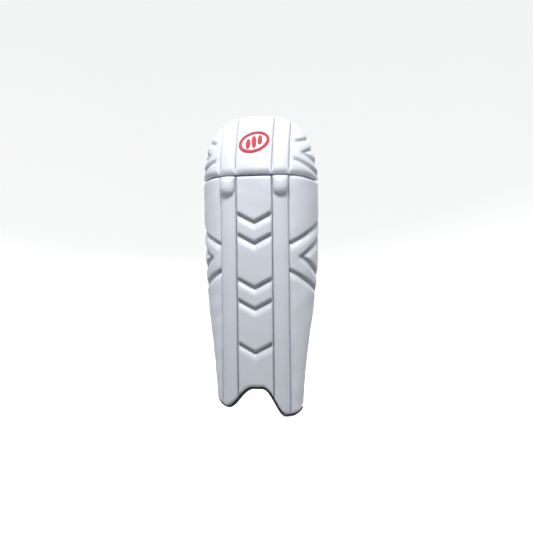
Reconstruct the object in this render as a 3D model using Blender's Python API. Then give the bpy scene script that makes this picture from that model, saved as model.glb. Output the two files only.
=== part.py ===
"""A wicket-keeping leg pad for the left leg, as its separate sewn pieces.

Metres, +Z up. The face of the pad looks along -Y and the leg goes behind it, at +Y. +X is the wearer's
outer side. The origin is on the ground, under the middle of the whole pad with its straps.

Every sheet and pad of it follows one bent surface, which is laid out from a point of its own: on the
middle line of the face, at the ground. A place on that surface is given by:
  along   the distance round the pad from its middle line, positive towards the outer wing
  z       the height (or, on the knee flap, the distance up the flap from its lower lip)
  depth   the distance in from the face towards the leg
"""

import math

import bmesh
import bpy
from mathutils import Matrix, Vector

# ---- driving dimensions ----------------------------------------------------
PAD_HEIGHT = 0.660
ORIGIN = Vector((0.00466, 0.0761, 0.0004))  # from the surface's own point to the origin
KNEE_SEAM = 0.524  # height of the seam between the shin and the knee flap
SEAM_GAP = 0.002
SEAM_DROP = 0.009  # how much lower the knee seam is at the wings' rear edges

FLAT_HALF = 0.035  # the middle of the face is flat as far as this
CENTRE_HALF = 0.0398  # middle line to the seam beside the centre panel
FRONT_HALF = 0.0770  # middle line to the seam beside a wing
CANE_TURN = math.radians(18)  # how far the face has turned at that seam
WING_REACH = 0.094  # the widest wing, round its curve
WING_TURN = {1: math.radians(78), -1: math.radians(90)}  # side: how far the face has turned at its edge
SHIN_LEAN = 0.027  # the face sets back this much for each metre down

SKIN = 0.0015  # the faux-leather cover
LAYER_GAP = 0.0003  # air between sewn layers
BACK = 0.0156  # depth of the lining's outer side
LINING = 0.0014
CUSHION_FRONT = BACK + LINING + LAYER_GAP

FLAP_PROUD = 0.006  # the middle of the knee flap stands this far in front of the shin
FLAP_EDGES = {1: 0.158, -1: 0.138}  # middle line to the flap's outer and inner edges
FLAP_LEAN_LOW = math.radians(8)
FLAP_LEAN_TOP = math.radians(30)
CROWN_PIPING = 0.002  # the piping stands this far above the flap's crown

CHEVRONS = (0.4205, 0.3755, 0.2785, 0.2325, 0.1375)  # heights of the points of the pressed grooves
CHEVRON_RISE = 0.021  # from a groove's point to its ends
GROOVE_DEPTH = 0.007
GROOVE_HALF = 0.0042

NOTCH_TOP = 0.0645  # height of the instep notch above the ground
NOTCH_MIDDLE = 0.004
NOTCH_INNER = (0.008, 0.062)  # half of its flat top, and the width of its slope, on the inner side
NOTCH_OUTER = (0.008, 0.055)
NOTCH_BEND = 1.2  # over 1, the slope is steeper in its lower half
LOBES = {1: (0.0, 0.071, 0.022), -1: (0.016, 0.062, 0.030)}  # side: rise, start and lift of its corner
BINDING_R = 0.0028
HEM = 2 * BINDING_R + LAYER_GAP  # the covers end this far above the binding's lowest point

CANE_R = 0.003
STRAP_THICK = 0.0026
STRAPS = {"knee": (0.486, 0.040), "calf": (0.340, 0.050), "ankle": (0.135, 0.040)}  # height, width
RING_WIRE_R = 0.0018
RING_LENGTH = 0.014  # between the two long bars of a strap ring
TAB_REACH = 0.010  # from the inner wing's edge to the ring's near bar
HOOK = 0.0014  # thickness of each half of the hook-and-loop fastening
PATCH_GAP = 0.0006  # the patch is straighter than the lining that it is sewn to

SEAM_DEPTH = 0.007  # a wing flexes on the stitches of its seam, this far in from the face
WING_AXIS_Z = 0.260

OUTER, INNER = 1, -1
SIDES = {"outer": OUTER, "inner": INNER}

COLOURS = {  # name: (colour, roughness)
    "white_cover": ((0.80, 0.82, 0.85), 0.42),
    "foam": ((0.86, 0.80, 0.55), 0.95),
    "cane": ((0.72, 0.53, 0.30), 0.55),
    "lining": ((0.70, 0.71, 0.72), 0.90),
    "binding_black": ((0.015, 0.015, 0.017), 0.60),
    "piping_white": ((0.78, 0.80, 0.83), 0.45),
    "webbing": ((0.74, 0.75, 0.77), 0.85),
    "hook_loop": ((0.55, 0.56, 0.58), 0.95),
    "ring_plastic": ((0.03, 0.03, 0.03), 0.35),
    "badge_red": ((0.72, 0.05, 0.09), 0.70),
}


# ---- the bent surface ------------------------------------------------------
def arc(x, y, heading, curvature, length):
    """The end of an arc that starts at x, y: its place and its heading."""
    end = heading + curvature * length
    return (
        x + (math.sin(end) - math.sin(heading)) / curvature,
        y + (math.cos(heading) - math.cos(end)) / curvature,
        end,
    )


CANE_CURVATURE = CANE_TURN / (FRONT_HALF - FLAT_HALF)
WING_CURVATURE = {side: (turn - CANE_TURN) / WING_REACH for side, turn in WING_TURN.items()}


def section(along):
    """Where the face is in plan at that distance round the pad: x (without its sign), y and heading."""
    reach = abs(along)
    if reach <= FLAT_HALF:
        return reach, 0.0, 0.0
    if reach <= FRONT_HALF:
        return arc(FLAT_HALF, 0.0, 0.0, CANE_CURVATURE, reach - FLAT_HALF)
    x, y, heading = arc(FLAT_HALF, 0.0, 0.0, CANE_CURVATURE, FRONT_HALF - FLAT_HALF)
    return arc(x, y, heading, WING_CURVATURE[OUTER if along > 0 else INNER], reach - FRONT_HALF)


def shin_point(along, z, depth):
    x, y, heading = section(along)
    x -= depth * math.sin(heading)
    y += depth * math.cos(heading) + SHIN_LEAN * (KNEE_SEAM - z)
    return Vector((math.copysign(x, along), y, z))


def flap_length():
    """How long the flap is from its lip to its crown, so that the crown is at PAD_HEIGHT."""
    middle = (FLAP_LEAN_LOW + FLAP_LEAN_TOP) / 2
    turn = FLAP_LEAN_TOP - FLAP_LEAN_LOW
    rise = PAD_HEIGHT - CROWN_PIPING - KNEE_SEAM - SEAM_GAP
    return rise / math.cos(middle) * (turn / 2) / math.sin(turn / 2)


FLAP_LENGTH = flap_length()


def flap_point(along, up, depth):
    x, y, heading = section(along)
    curvature = (FLAP_LEAN_TOP - FLAP_LEAN_LOW) / FLAP_LENGTH
    rise, back, lean = arc(0.0, 0.0, FLAP_LEAN_LOW, curvature, up)
    depth -= FLAP_PROUD * (1 - 0.6 * smooth((abs(along) - CENTRE_HALF) / WING_REACH))
    x -= depth * math.sin(heading)
    y += depth * math.cos(heading) * math.cos(lean) + back
    z = KNEE_SEAM + SEAM_GAP - seam_drop(along) + rise - depth * math.cos(heading) * math.sin(lean)
    return Vector((math.copysign(x, along), y, z))


# ---- the outlines ----------------------------------------------------------
def smooth(t):
    t = min(max(t, 0.0), 1.0)
    return t * t * (3 - 2 * t)


def mix(a, b, t):
    return a + (b - a) * t


def seam_drop(along):
    return SEAM_DROP * smooth((abs(along) - FRONT_HALF) / WING_REACH)


def shin_top(along):
    return KNEE_SEAM - seam_drop(along)


def lobe(along):
    """The lower edge without its notch: level under the canes, then a round corner up to the wing's edge."""
    side = OUTER if along > 0 else INNER
    rise, start, lift = LOBES[side]
    end = FRONT_HALF + wing_width(side, 0.0)
    t = min(max((abs(along) - start) / (end - start), 0.0), 0.97)
    return HEM + rise + lift * (1 - math.sqrt(1 - t * t))


def shin_bottom(along):
    """The lower edge: a notch over the instep between two lobes."""
    off = abs(along - NOTCH_MIDDLE)
    flat, slope = NOTCH_OUTER if along > NOTCH_MIDDLE else NOTCH_INNER
    low = lobe(along)
    down = max((off - flat) / slope, 0.0) ** NOTCH_BEND
    return low + (NOTCH_TOP - low) * (1 - smooth(down))


def wing_width(side, z):
    """How wide a wing is, round its curve: it narrows towards the ankle."""
    if side == OUTER:
        return mix(0.029, WING_REACH, smooth(z / 0.420))
    return mix(0.017, 0.080, smooth(z / 0.480))


def flap_top(along):
    """The flap's upper edge is one broad arch, which ends a little above the lip."""
    edge = FLAP_EDGES[OUTER if along > 0 else INNER]
    return FLAP_LENGTH * (1 - min(abs(along) / (edge * 1.035), 1.0) ** 3.2) ** 1.1


def roll(edge, radius, fall):
    """How far a padded edge has rolled inwards at this distance from its seam."""
    t = 1 - min(max(edge, 0.0), radius) / radius
    return fall * (1 - math.sqrt(1 - t * t))


# ---- building --------------------------------------------------------------
def material(name):
    found = bpy.data.materials.get(name)
    if found:
        return found
    colour, roughness = COLOURS[name]
    made = bpy.data.materials.new(name)
    made.use_nodes = True
    shader = made.node_tree.nodes["Principled BSDF"]
    shader.inputs["Base Color"].default_value = (*colour, 1.0)
    shader.inputs["Roughness"].default_value = roughness
    shader.inputs["Metallic"].default_value = 0.0
    return made


def add(name, data, finish, collection):
    made = bpy.data.objects.new(name, data)
    data.materials.append(material(finish))
    collection.objects.link(made)
    return made


def block(name, finish, columns, rows, place, collection):
    """A slab: a flat grid made thick by one extrusion. Its corners go to place(column, row, 0 or 1)."""
    bm = bmesh.new()
    across, up = len(columns) - 1, len(rows) - 1
    bmesh.ops.create_grid(bm, x_segments=across, y_segments=up, size=0.5)
    far = bmesh.ops.extrude_face_region(bm, geom=bm.faces[:])["geom"]
    for vertex in far:
        if isinstance(vertex, bmesh.types.BMVert):
            vertex.co.z = 1.0
    for vertex in bm.verts:
        column = columns[round((vertex.co.x + 0.5) * across)]
        row = rows[round((vertex.co.y + 0.5) * up)]
        vertex.co = place(column, row, vertex.co.z) - ORIGIN
    bmesh.ops.recalc_face_normals(bm, faces=bm.faces[:])
    if bm.calc_volume(signed=True) < 0:
        bmesh.ops.reverse_faces(bm, faces=bm.faces[:])
    mesh = bpy.data.meshes.new(name)
    bm.to_mesh(mesh)
    bm.free()
    mesh.shade_smooth()
    mesh.set_sharp_from_angle(angle=math.radians(40))
    return add(name, mesh, finish, collection)


def strip(name, finish, path, thick, low, high, lean, collection):
    """Webbing: a strip that follows a path in plan, as high as its width."""

    def place(i, v, w):
        before, after = path[max(i - 1, 0)], path[min(i + 1, len(path) - 1)]
        ahead = (after - before).normalized()
        sideways = Vector((ahead.y, -ahead.x))
        at = path[i] + sideways * thick * (w - 0.5)
        z = mix(low, high, v)
        return Vector((at.x, at.y + lean * (KNEE_SEAM - z), z))

    return block(name, finish, list(range(len(path))), [0.0, 1.0], place, collection)


def tube(name, finish, points, radius, sides, closed, collection):
    curve = bpy.data.curves.new(name, "CURVE")
    curve.dimensions = "3D"
    curve.bevel_depth = radius
    curve.bevel_resolution = sides
    curve.use_fill_caps = not closed
    spline = curve.splines.new("POLY")
    spline.points.add(len(points) - 1)
    for point, target in zip(spline.points, points):
        point.co = (*(target - ORIGIN), 1.0)
    spline.use_cyclic_u = closed
    return add(name, curve, finish, collection)


def steps(low, high, edge_low, edge_high, count):
    """Places from low to high: close together over the two rolled edges, and even between them."""
    start, end = low + edge_low, high - edge_high
    inside = [mix(start, end, i / count) for i in range(count + 1)]
    return [low, mix(low, start, 0.3), *inside, mix(high, end, 0.3), high]


def spaced(places, least):
    """The places without those that are closer than least to the one before, but with both ends."""
    kept = [places[0]]
    for place in places[1:-1]:
        if place - kept[-1] >= least and places[-1] - place >= least:
            kept.append(place)
    return [*kept, places[-1]]


# ---- the face of the shin --------------------------------------------------
EDGE = 0.008  # radius of a rolled edge


def centre_columns():
    half = CENTRE_HALF - LAYER_GAP
    return steps(-half, half, EDGE, EDGE, 6)


def cane_columns(side):
    columns = steps(CENTRE_HALF + LAYER_GAP, FRONT_HALF - LAYER_GAP, EDGE, EDGE, 3)
    return [side * along for along in columns]


def shin_columns():
    return sorted(cane_columns(INNER) + centre_columns() + cane_columns(OUTER))


def wing_columns():
    """Across a wing, as shares of its width."""
    return steps(0.0, 1.0, 0.09, 0.16, 6)


def centre_face(along, z):
    """Depth of the centre panel's face: a low crown with rolled edges."""
    fall = roll(CENTRE_HALF - abs(along), EDGE, 0.0075)
    ends = min(z - shin_bottom(along), shin_top(along) - z)
    crown = 0.0025 * (1 - (along / CENTRE_HALF) ** 2)
    return max(fall, roll(ends, EDGE, 0.0075)) - crown


def cane_face(along, z):
    """Depth of a cane bolster's face, which is rounder than the centre panel."""
    middle, half = (CENTRE_HALF + FRONT_HALF) / 2, (FRONT_HALF - CENTRE_HALF) / 2
    off = abs(abs(along) - middle)
    ends = min(z - shin_bottom(along), shin_top(along) - z)
    crown = 0.0055 * (1 - (off / half) ** 2)
    return max(roll(half - off, EDGE, 0.0055), roll(ends, EDGE, 0.0055)) - crown


def wing_face(side, along, z):
    """Depth of a wing's face, which thins towards its free edge."""
    reach = abs(along) - FRONT_HALF
    width = wing_width(side, z)
    ends = min(z - lobe(along), shin_top(along) - z)
    fall = max(roll(reach, EDGE, 0.0075), roll(width - reach, 0.014, 0.009), roll(ends, EDGE, 0.0075))
    return fall - 0.0015 * math.sin(math.pi * min(max(reach / width, 0.0), 1.0))


def layers(cover, foam, columns, rows, point, face, back, height, collection):
    """A padded panel: its faux-leather skin, and the foam under it as deep as back."""

    def skin(along, row, w):
        z = height(along, row)
        return point(along, z, face(along, z) + SKIN * w)

    def core(along, row, w):
        z = height(along, row)
        return point(along, z, back if w else face(along, z) + SKIN + LAYER_GAP)

    block(cover, "white_cover", columns, rows, skin, collection)
    block(foam, "foam", columns, rows, core, collection)


def centre_panel(collection):
    """The centre panel is one skin pressed into its foam along five chevrons."""
    columns = centre_columns()
    rows = [("low", 0.0), ("low", 0.3), ("low", 1.0)]
    for tip in sorted(CHEVRONS):
        rows += [("groove", tip - GROOVE_HALF), ("groove", tip), ("groove", tip + GROOVE_HALF)]
    rows += [("high", 1.0), ("high", 0.3), ("high", 0.0)]

    def height(along, row):
        kind, value = row
        if kind == "low":
            return shin_bottom(along) + value * EDGE
        if kind == "high":
            return shin_top(along) - value * EDGE
        return value + CHEVRON_RISE * abs(along) / CENTRE_HALF

    tips = set(CHEVRONS)

    def face(along, z):
        tip = z - CHEVRON_RISE * abs(along) / CENTRE_HALF
        in_groove = any(abs(tip - groove) < 0.2 * GROOVE_HALF for groove in tips)
        return max(centre_face(along, z), GROOVE_DEPTH if in_groove else -1.0)

    layers("centre_panel_cover", "centre_panel_foam", columns, rows, shin_point, face, BACK - LAYER_GAP,
           height, collection)


def cane_bolsters(collection):
    """Each bolster: a skin, a strip of foam, and three canes that run behind the foam."""
    cane_front = BACK - LAYER_GAP - 2 * CANE_R - LAYER_GAP
    for name, side in SIDES.items():
        columns = cane_columns(side)
        rows = [0.0, 0.3, 1.0, 3.0, 5.0, 7.0, 8.0, 8.7, 9.0]

        def height(along, row):
            low, high = shin_bottom(along), shin_top(along)
            if row <= 1.0:
                return low + row * EDGE
            if row >= 8.0:
                return high - (9.0 - row) * EDGE
            return mix(low + EDGE, high - EDGE, (row - 1.0) / 7.0)

        layers(f"{name}_cane_cover", f"{name}_cane_foam", columns, rows, shin_point, cane_face,
               cane_front - LAYER_GAP, height, collection)
        for i in range(3):
            along = side * (mix(CENTRE_HALF, FRONT_HALF, (i + 1) / 4))
            depth = cane_front + CANE_R
            ends = [shin_point(along, z, depth) for z in (0.075, KNEE_SEAM - 0.012)]
            tube(f"{name}_cane_{i + 1}", "cane", ends, CANE_R, 2, False, collection)


def knuckles(collection):
    """The two rounded caps that pad the tops of the canes, just under the knee flap."""
    top, tall = KNEE_SEAM - 0.0045, 0.037
    middle, half = (CENTRE_HALF + FRONT_HALF) / 2, 0.0165
    for name, side in SIDES.items():

        def place(u, v, w):
            # the lower half of the outline is round
            narrow = math.sqrt(max(1 - (1 - min(v / 0.45, 1.0)) ** 2, 0.0))
            along = side * (middle + half * u * mix(0.30, 1.0, narrow))
            z = top - tall * (1 - v)
            rest = cane_face(along, z) - 2 * LAYER_GAP
            bulge = 0.0105 * math.sqrt(max(1 - u * u, 0.0)) * min(narrow, math.sqrt(max(1 - v**6, 0.0)))
            return shin_point(along, z, rest - (0.0008 + bulge) * w)

        block(f"{name}_knee_knuckle", "white_cover", [-1, -0.85, -0.5, 0, 0.5, 0.85, 1],
              [0, 0.08, 0.25, 0.5, 0.8, 0.95, 1], place, collection)


# ---- the back of the shin --------------------------------------------------
def shin_back(collection):
    """The lining that closes the shin's back, and the cushions sewn to it that the leg lies against."""
    columns = spaced(shin_columns(), 0.004)
    rows = [0.0, 1.0]

    def lining(along, v, w):
        z = mix(shin_bottom(along) + 0.0005, shin_top(along), v)
        return shin_point(along, z, BACK + LINING * w)

    block("shin_lining", "lining", columns, rows, lining, collection)

    def centre_cushion(u, v, w):
        z = mix(0.095, 0.440, v)
        thick = 0.012 if abs(u) < 0.9 and 0.02 < v < 0.98 else 0.006
        return shin_point(0.026 * u, z, CUSHION_FRONT + thick * w)

    columns, rows = [-1, -0.88, 0.88, 1], [0, 0.03, 0.97, 1]
    block("centre_shin_cushion", "lining", columns, rows, centre_cushion, collection)

    for name, side in SIDES.items():

        def bolster(u, v, w):
            along = side * (0.052 + 0.021 * u)
            z = mix(0.092, 0.445, v)
            ends = 1 - (2 * v - 1) ** 8
            thick = 0.005 + 0.021 * math.sqrt(max(1 - u * u, 0.0)) * math.sqrt(max(ends, 0.0))
            return shin_point(along, z, CUSHION_FRONT + thick * w)

        columns, rows = [-1, -0.8, -0.4, 0, 0.4, 0.8, 1], [0, 0.03, 0.2, 0.8, 0.97, 1]
        block(f"{name}_shin_bolster", "lining", columns, rows, bolster, collection)

    def knee_cup(u, v, w):
        along = 0.070 * u
        z = mix(0.452, 0.514, v)
        rim = math.sqrt(max(1 - u**4, 0.0)) * math.sqrt(max(1 - (2 * v - 1) ** 4, 0.0))
        hollow = 0.008 * (1 - (u / 0.6) ** 2) if abs(u) < 0.6 else 0.0
        return shin_point(along, z, CUSHION_FRONT + (0.005 + 0.023 * rim - hollow) * w)

    columns, rows = [-1, -0.9, -0.6, -0.3, 0, 0.3, 0.6, 0.9, 1], [0, 0.1, 0.35, 0.65, 0.9, 1]
    block("knee_locator_cushion", "lining", columns, rows, knee_cup, collection)

    def instep(u, v, w):
        along = 0.060 * u
        low = shin_bottom(along) + 0.002
        high = 0.088 - 0.022 * u * u
        return shin_point(along, mix(low, high, v), CUSHION_FRONT + 0.0025 * w)

    block("instep_guard", "webbing", [i / 5 for i in range(-5, 6)], [0, 0.5, 1], instep, collection)


# ---- wings -----------------------------------------------------------------
def wing_spot(side, u, v):
    """A place on a wing, from its shares of the width and the height."""
    z = mix(HEM, KNEE_SEAM, v)
    for _ in range(4):
        along = side * mix(FRONT_HALF + LAYER_GAP, FRONT_HALF + wing_width(side, z), u)
        z = mix(lobe(along), shin_top(along), v)
    return along, z


def wing(name, side, collection):
    """A wing: skin, foam and lining, sewn to the shin along the seam beside the canes."""
    columns = wing_columns()
    rows = steps(0.0, 1.0, 0.016, 0.016, 7)

    def skin(u, v, w):
        along, z = wing_spot(side, u, v)
        return shin_point(along, z, wing_face(side, along, z) + SKIN * w)

    def core(u, v, w):
        along, z = wing_spot(side, u, v)
        return shin_point(along, z, BACK - LAYER_GAP if w else wing_face(side, along, z) + SKIN + LAYER_GAP)

    def lining(u, v, w):
        along, z = wing_spot(side, u, v)
        return shin_point(along, z, BACK + LINING * w)

    block(f"{name}_wing_cover", "white_cover", columns, rows, skin, collection)
    block(f"{name}_wing_foam", "foam", columns, rows, core, collection)
    block(f"{name}_wing_lining", "lining", columns, rows[::2] if len(rows) % 2 else rows, lining, collection)


def beside(edge, off, point, depth):
    """Points beside an edge, which is a list of (along, z): off away from it, on its right as it runs."""
    spots = [Vector(spot) for spot in edge]
    points = []
    for i, spot in enumerate(spots):
        first = min(max(i - 1, 0), len(spots) - 2)
        second = min(i, len(spots) - 2)
        before = (spots[first + 1] - spots[first]).normalized()
        after = (spots[second + 1] - spots[second]).normalized()
        mitre = Vector((before.y + after.y, -before.x - after.x)) / (1 + before.dot(after))
        points.append(point(*(spot + mitre * off), depth))
    return points


def bindings(collections):
    """Black tape closes the lower edge, and white piping the wings' rear edges."""
    depth = BACK - BINDING_R
    off = BINDING_R + LAYER_GAP
    hem = [(along, shin_bottom(along)) for along in spaced(shin_columns(), 0.002)]
    line = beside(hem, off, shin_point, depth)
    tube("shin_hem_binding", "binding_black", line, BINDING_R, 1, False, collections["shin"])
    for name, side in SIDES.items():
        places = [wing_spot(side, share, 0.0)[0] for share in wing_columns()[2:]]
        places = [side * (FRONT_HALF + 0.0008), *places]
        hem = [(along, lobe(along)) for along in places]
        body = collections[f"{name}_wing"]
        line = beside(hem, side * off, shin_point, depth)
        tube(f"{name}_wing_hem_binding", "binding_black", line, BINDING_R, 1, False, body)
        corner = lobe(places[-1])
        edge = []
        for i in range(15):
            z = mix(corner + 0.005, KNEE_SEAM - SEAM_DROP - 0.001, i / 14)
            edge.append((side * (FRONT_HALF + wing_width(side, z)), z))
        line = beside(edge, side * (off + 3 * LAYER_GAP), shin_point, depth)
        tube(f"{name}_wing_piping", "piping_white", line, BINDING_R, 1, False, body)


# ---- the straps ------------------------------------------------------------
def plan(along, depth):
    """A place on the bent surface in plan, before the shin's lean."""
    at = shin_point(along, KNEE_SEAM, depth)
    return Vector((at.x, at.y))


def bezier(a, b, c, d, count):
    """Points of a cubic curve from a to d, without the last."""
    points = []
    for i in range(count):
        t = i / count
        points.append(a * (1 - t) ** 3 + b * 3 * t * (1 - t) ** 2 + c * 3 * t * t * (1 - t) + d * t**3)
    return points


def turn_round(bar, radius, first, last, count):
    """Points round a bar, in plan, from one heading to another, in degrees."""
    angles = [math.radians(mix(first, last, i / count)) for i in range(count + 1)]
    return [bar + radius * Vector((math.cos(a), math.sin(a))) for a in angles]


TAB_DEPTH = BACK + LINING + LAYER_GAP + STRAP_THICK / 2
LOOP = RING_WIRE_R + 0.0004 + STRAP_THICK / 2  # a bar's middle to the middle of the webbing round it
LAYER = STRAP_THICK + LAYER_GAP  # the middle of one layer of webbing to the middle of the next


def ring_bars(z):
    """For a strap at this height: the two bars of its ring in plan, and the inner wing's heading there."""
    edge = -(FRONT_HALF + wing_width(INNER, z))
    heading = section(edge)[2]
    back = Vector((-math.cos(heading), math.sin(heading)))
    inwards = Vector((math.sin(heading), math.cos(heading)))
    near = plan(edge, TAB_DEPTH) + back * TAB_REACH + inwards * LOOP
    return near, near + Vector((0.0, RING_LENGTH)), math.degrees(heading)


def strap_tab(name, z, width, collection):
    """The tab lies on the inner wing's lining, wraps the ring's near bar and comes back over itself."""
    near, _, heading = ring_bars(z)
    edge = -(FRONT_HALF + wing_width(INNER, z))
    first = min(edge + 0.034, -FRONT_HALF - 0.002)
    leave = edge + 0.004
    out = [plan(mix(first, leave, i / 3), TAB_DEPTH) for i in range(4)]
    back = [plan(mix(edge + 0.008, first, i / 2), TAB_DEPTH + LAYER) for i in range(2)]
    wrap = turn_round(near, LOOP, 270 - heading, 80 - heading, 7)
    strip(f"{name}_strap_tab", "webbing", [*out, *wrap, *back], STRAP_THICK * 0.8,
          z - width / 2 + 0.003, z + width / 2 - 0.003, SHIN_LEAN, collection)


def strap_ring(name, z, width, collection):
    """A rectangle of plastic rod with cut corners."""
    near, far, _ = ring_bars(z)
    half = width / 2 + 0.003 + RING_WIRE_R
    cut = 0.002
    inset = Vector((0.0, cut))
    corners = [
        (near, half - cut), (near + inset, half), (far - inset, half), (far, half - cut),
        (far, cut - half), (far - inset, -half), (near + inset, -half), (near, cut - half),
    ]
    wire = [Vector((at.x, at.y + SHIN_LEAN * (KNEE_SEAM - z - lift), z + lift)) for at, lift in corners]
    tube(f"{name}_strap_ring", "ring_plastic", wire, RING_WIRE_R, 2, True, collection)


def strap(name, z, width, collections):
    """A strap is sewn round its ring's far bar, passes behind the leg and ends inside the outer wing."""
    _, far, _ = ring_bars(z)
    edge = FRONT_HALF + wing_width(OUTER, z)
    first, last = edge - 0.011, edge - min(0.038, wing_width(OUTER, z) - 0.012)
    hook_depth = BACK + LINING + PATCH_GAP + 2 * LAYER_GAP + 2 * HOOK + STRAP_THICK / 2 + 0.0006
    landing = plan(first, hook_depth)
    heading = section(edge)[2] + math.radians(9)
    leaving = Vector((math.cos(heading), math.sin(heading)))
    sewn = [far + Vector((LAYER / 2, back)) for back in (0.036, 0.015)]
    sewn += turn_round(far, LOOP, 10, -190, 8)
    sewn += [far + Vector((-LAYER / 2, back)) for back in (0.015, 0.030)]
    behind = max(landing.y, far.y) + 0.072
    middle = Vector((0.004, behind))
    start = far + Vector((-LAYER / 2, 0.040))
    path = [*sewn, *bezier(start, start + Vector((0.0, 0.030)), middle - Vector((0.058, 0.0)), middle, 10)]
    path += bezier(middle, middle + Vector((0.058, 0.0)), landing + leaving * 0.045, landing, 10)
    path += [plan(mix(first, last, i / 3), hook_depth) for i in range(4)]
    low, high = z - width / 2, z + width / 2
    body = collections[f"{name}_strap"]
    strip(f"{name}_strap_webbing", "webbing", path, STRAP_THICK, low, high, SHIN_LEAN, body)

    behind_webbing = hook_depth - STRAP_THICK / 2 - LAYER_GAP - HOOK / 2
    hook = [plan(mix(first, last, mix(0.08, 1.0, i / 3)), behind_webbing) for i in range(4)]
    strip(f"{name}_strap_hook", "hook_loop", hook, HOOK, low + 0.002, high - 0.002, SHIN_LEAN, body)
    on_lining = BACK + LINING + PATCH_GAP + HOOK / 2
    patch = [plan(mix(first, last, mix(-0.02, 1.12, i / 5)), on_lining) for i in range(6)]
    strip(f"{name}_strap_patch", "hook_loop", patch, HOOK, low - 0.002, high + 0.002, SHIN_LEAN,
          collections["outer_wing"])


# ---- the knee flap ---------------------------------------------------------
FLAP_CROWN = 0.003
BADGE_LONG, BADGE_TALL, BADGE_TILT = 0.070, 0.050, math.radians(18)
BADGE_MIDDLE = 0.071  # how far up the flap
BADGE_GAP = 0.0004
FLAP_ROWS = [0.0, 0.3, 1.0, 2.0, 3.0, 4.0, 5.0, 5.7, 6.0]
FLAP_PANELS = {  # name: (first and last distance round the pad, spans between its rolled edges, crown)
    "flap_inner_wing": (-FLAP_EDGES[INNER], -FRONT_HALF - LAYER_GAP, 5, 0.003),
    "flap_inner_strip": (-FRONT_HALF + LAYER_GAP, -CENTRE_HALF - LAYER_GAP, 2, 0.002),
    "flap_centre": (-CENTRE_HALF + LAYER_GAP, CENTRE_HALF - LAYER_GAP, 4, FLAP_CROWN),
    "flap_outer_strip": (CENTRE_HALF + LAYER_GAP, FRONT_HALF - LAYER_GAP, 2, 0.002),
    "flap_outer_wing": (FRONT_HALF + LAYER_GAP, FLAP_EDGES[OUTER], 6, 0.003),
}


def flap_height(along, row):
    """How far up the flap a row is."""
    high = flap_top(along)
    rolled = min(EDGE, high * 0.3)
    if row <= 1.0:
        return row * rolled
    return high - (6.0 - row) * rolled if row >= 5.0 else mix(rolled, high - rolled, (row - 1.0) / 4.0)


def flap_panel(name, first, last, spans, crown, collection):
    """A panel of the knee flap between two distances round the pad."""
    columns = steps(first, last, EDGE, EDGE, spans)
    middle, half = (first + last) / 2, (last - first) / 2

    def face(along, up):
        off = abs(along - middle)
        ends = min(up, flap_top(along) - up)
        fall = max(roll(half - off, EDGE, 0.006), roll(up, 0.012, 0.008), roll(ends, EDGE, 0.0085))
        return fall - crown * (1 - (off / half) ** 2)

    layers(f"{name}_cover", f"{name}_foam", columns, FLAP_ROWS, flap_point, face, BACK - LAYER_GAP,
           flap_height, collection)
    return columns


def flap(collection):
    columns = []
    for name, (first, last, spans, crown) in FLAP_PANELS.items():
        columns += flap_panel(name, first, last, spans, crown, collection)

    def lining(along, row, w):
        return flap_point(along, flap_height(along, row), BACK + LINING * w)

    rows = [row for row in FLAP_ROWS if row == int(row)]
    block("flap_lining", "lining", spaced(columns, 0.004), rows, lining, collection)

    arch = [(along, flap_top(along)) for along in spaced(columns, 0.002)]
    arch = [(-FLAP_EDGES[INNER], 0.003), *arch, (FLAP_EDGES[OUTER], 0.003)]
    off = BINDING_R + 2.5 * LAYER_GAP
    line = beside(arch, -off, flap_point, BACK - BINDING_R)
    tube("flap_piping", "piping_white", line, BINDING_R, 1, False, collection)

    def badge(u, v, w):
        """A tilted oval plate: a square grid drawn in to an oval."""
        x = BADGE_LONG / 2 * u * math.sqrt(1 - v * v / 2)
        y = BADGE_TALL / 2 * v * math.sqrt(1 - u * u / 2)
        along = x * math.cos(BADGE_TILT) - y * math.sin(BADGE_TILT)
        up = BADGE_MIDDLE + x * math.sin(BADGE_TILT) + y * math.cos(BADGE_TILT)
        crown = FLAP_CROWN * (1 - (along / CENTRE_HALF) ** 2)
        return flap_point(along, up, -crown - BADGE_GAP - 0.0011 * w)

    even = [i / 4 for i in range(-4, 5)]
    block("flap_badge", "badge_red", even, even, badge, collection)


# ---- the joints' places ----------------------------------------------------
def pivots():
    """A point on the axis of each body that moves, before the origin is set."""
    found = {"knee_flap": Vector((0.0, -0.0005, KNEE_SEAM + SEAM_GAP))}
    for name, side in SIDES.items():
        found[f"{name}_wing"] = shin_point(side * FRONT_HALF, WING_AXIS_Z, SEAM_DEPTH)
    for name, (z, _) in STRAPS.items():
        near, far, _ = ring_bars(z)
        lean = SHIN_LEAN * (KNEE_SEAM - z)
        found[f"{name}_ring"] = Vector((near.x, near.y + lean, z))
        found[f"{name}_strap"] = Vector((far.x, far.y + lean, z))
    return found


def hang(collection, pivot):
    """Parent a body's pieces to an empty on its axis, without moving them."""
    empty = bpy.data.objects.new(f"{collection.name}_axis", None)
    empty.location = pivot
    pieces = list(collection.objects)
    collection.objects.link(empty)
    for piece in pieces:
        piece.parent = empty
        piece.matrix_parent_inverse = Matrix.Translation(-pivot)


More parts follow.
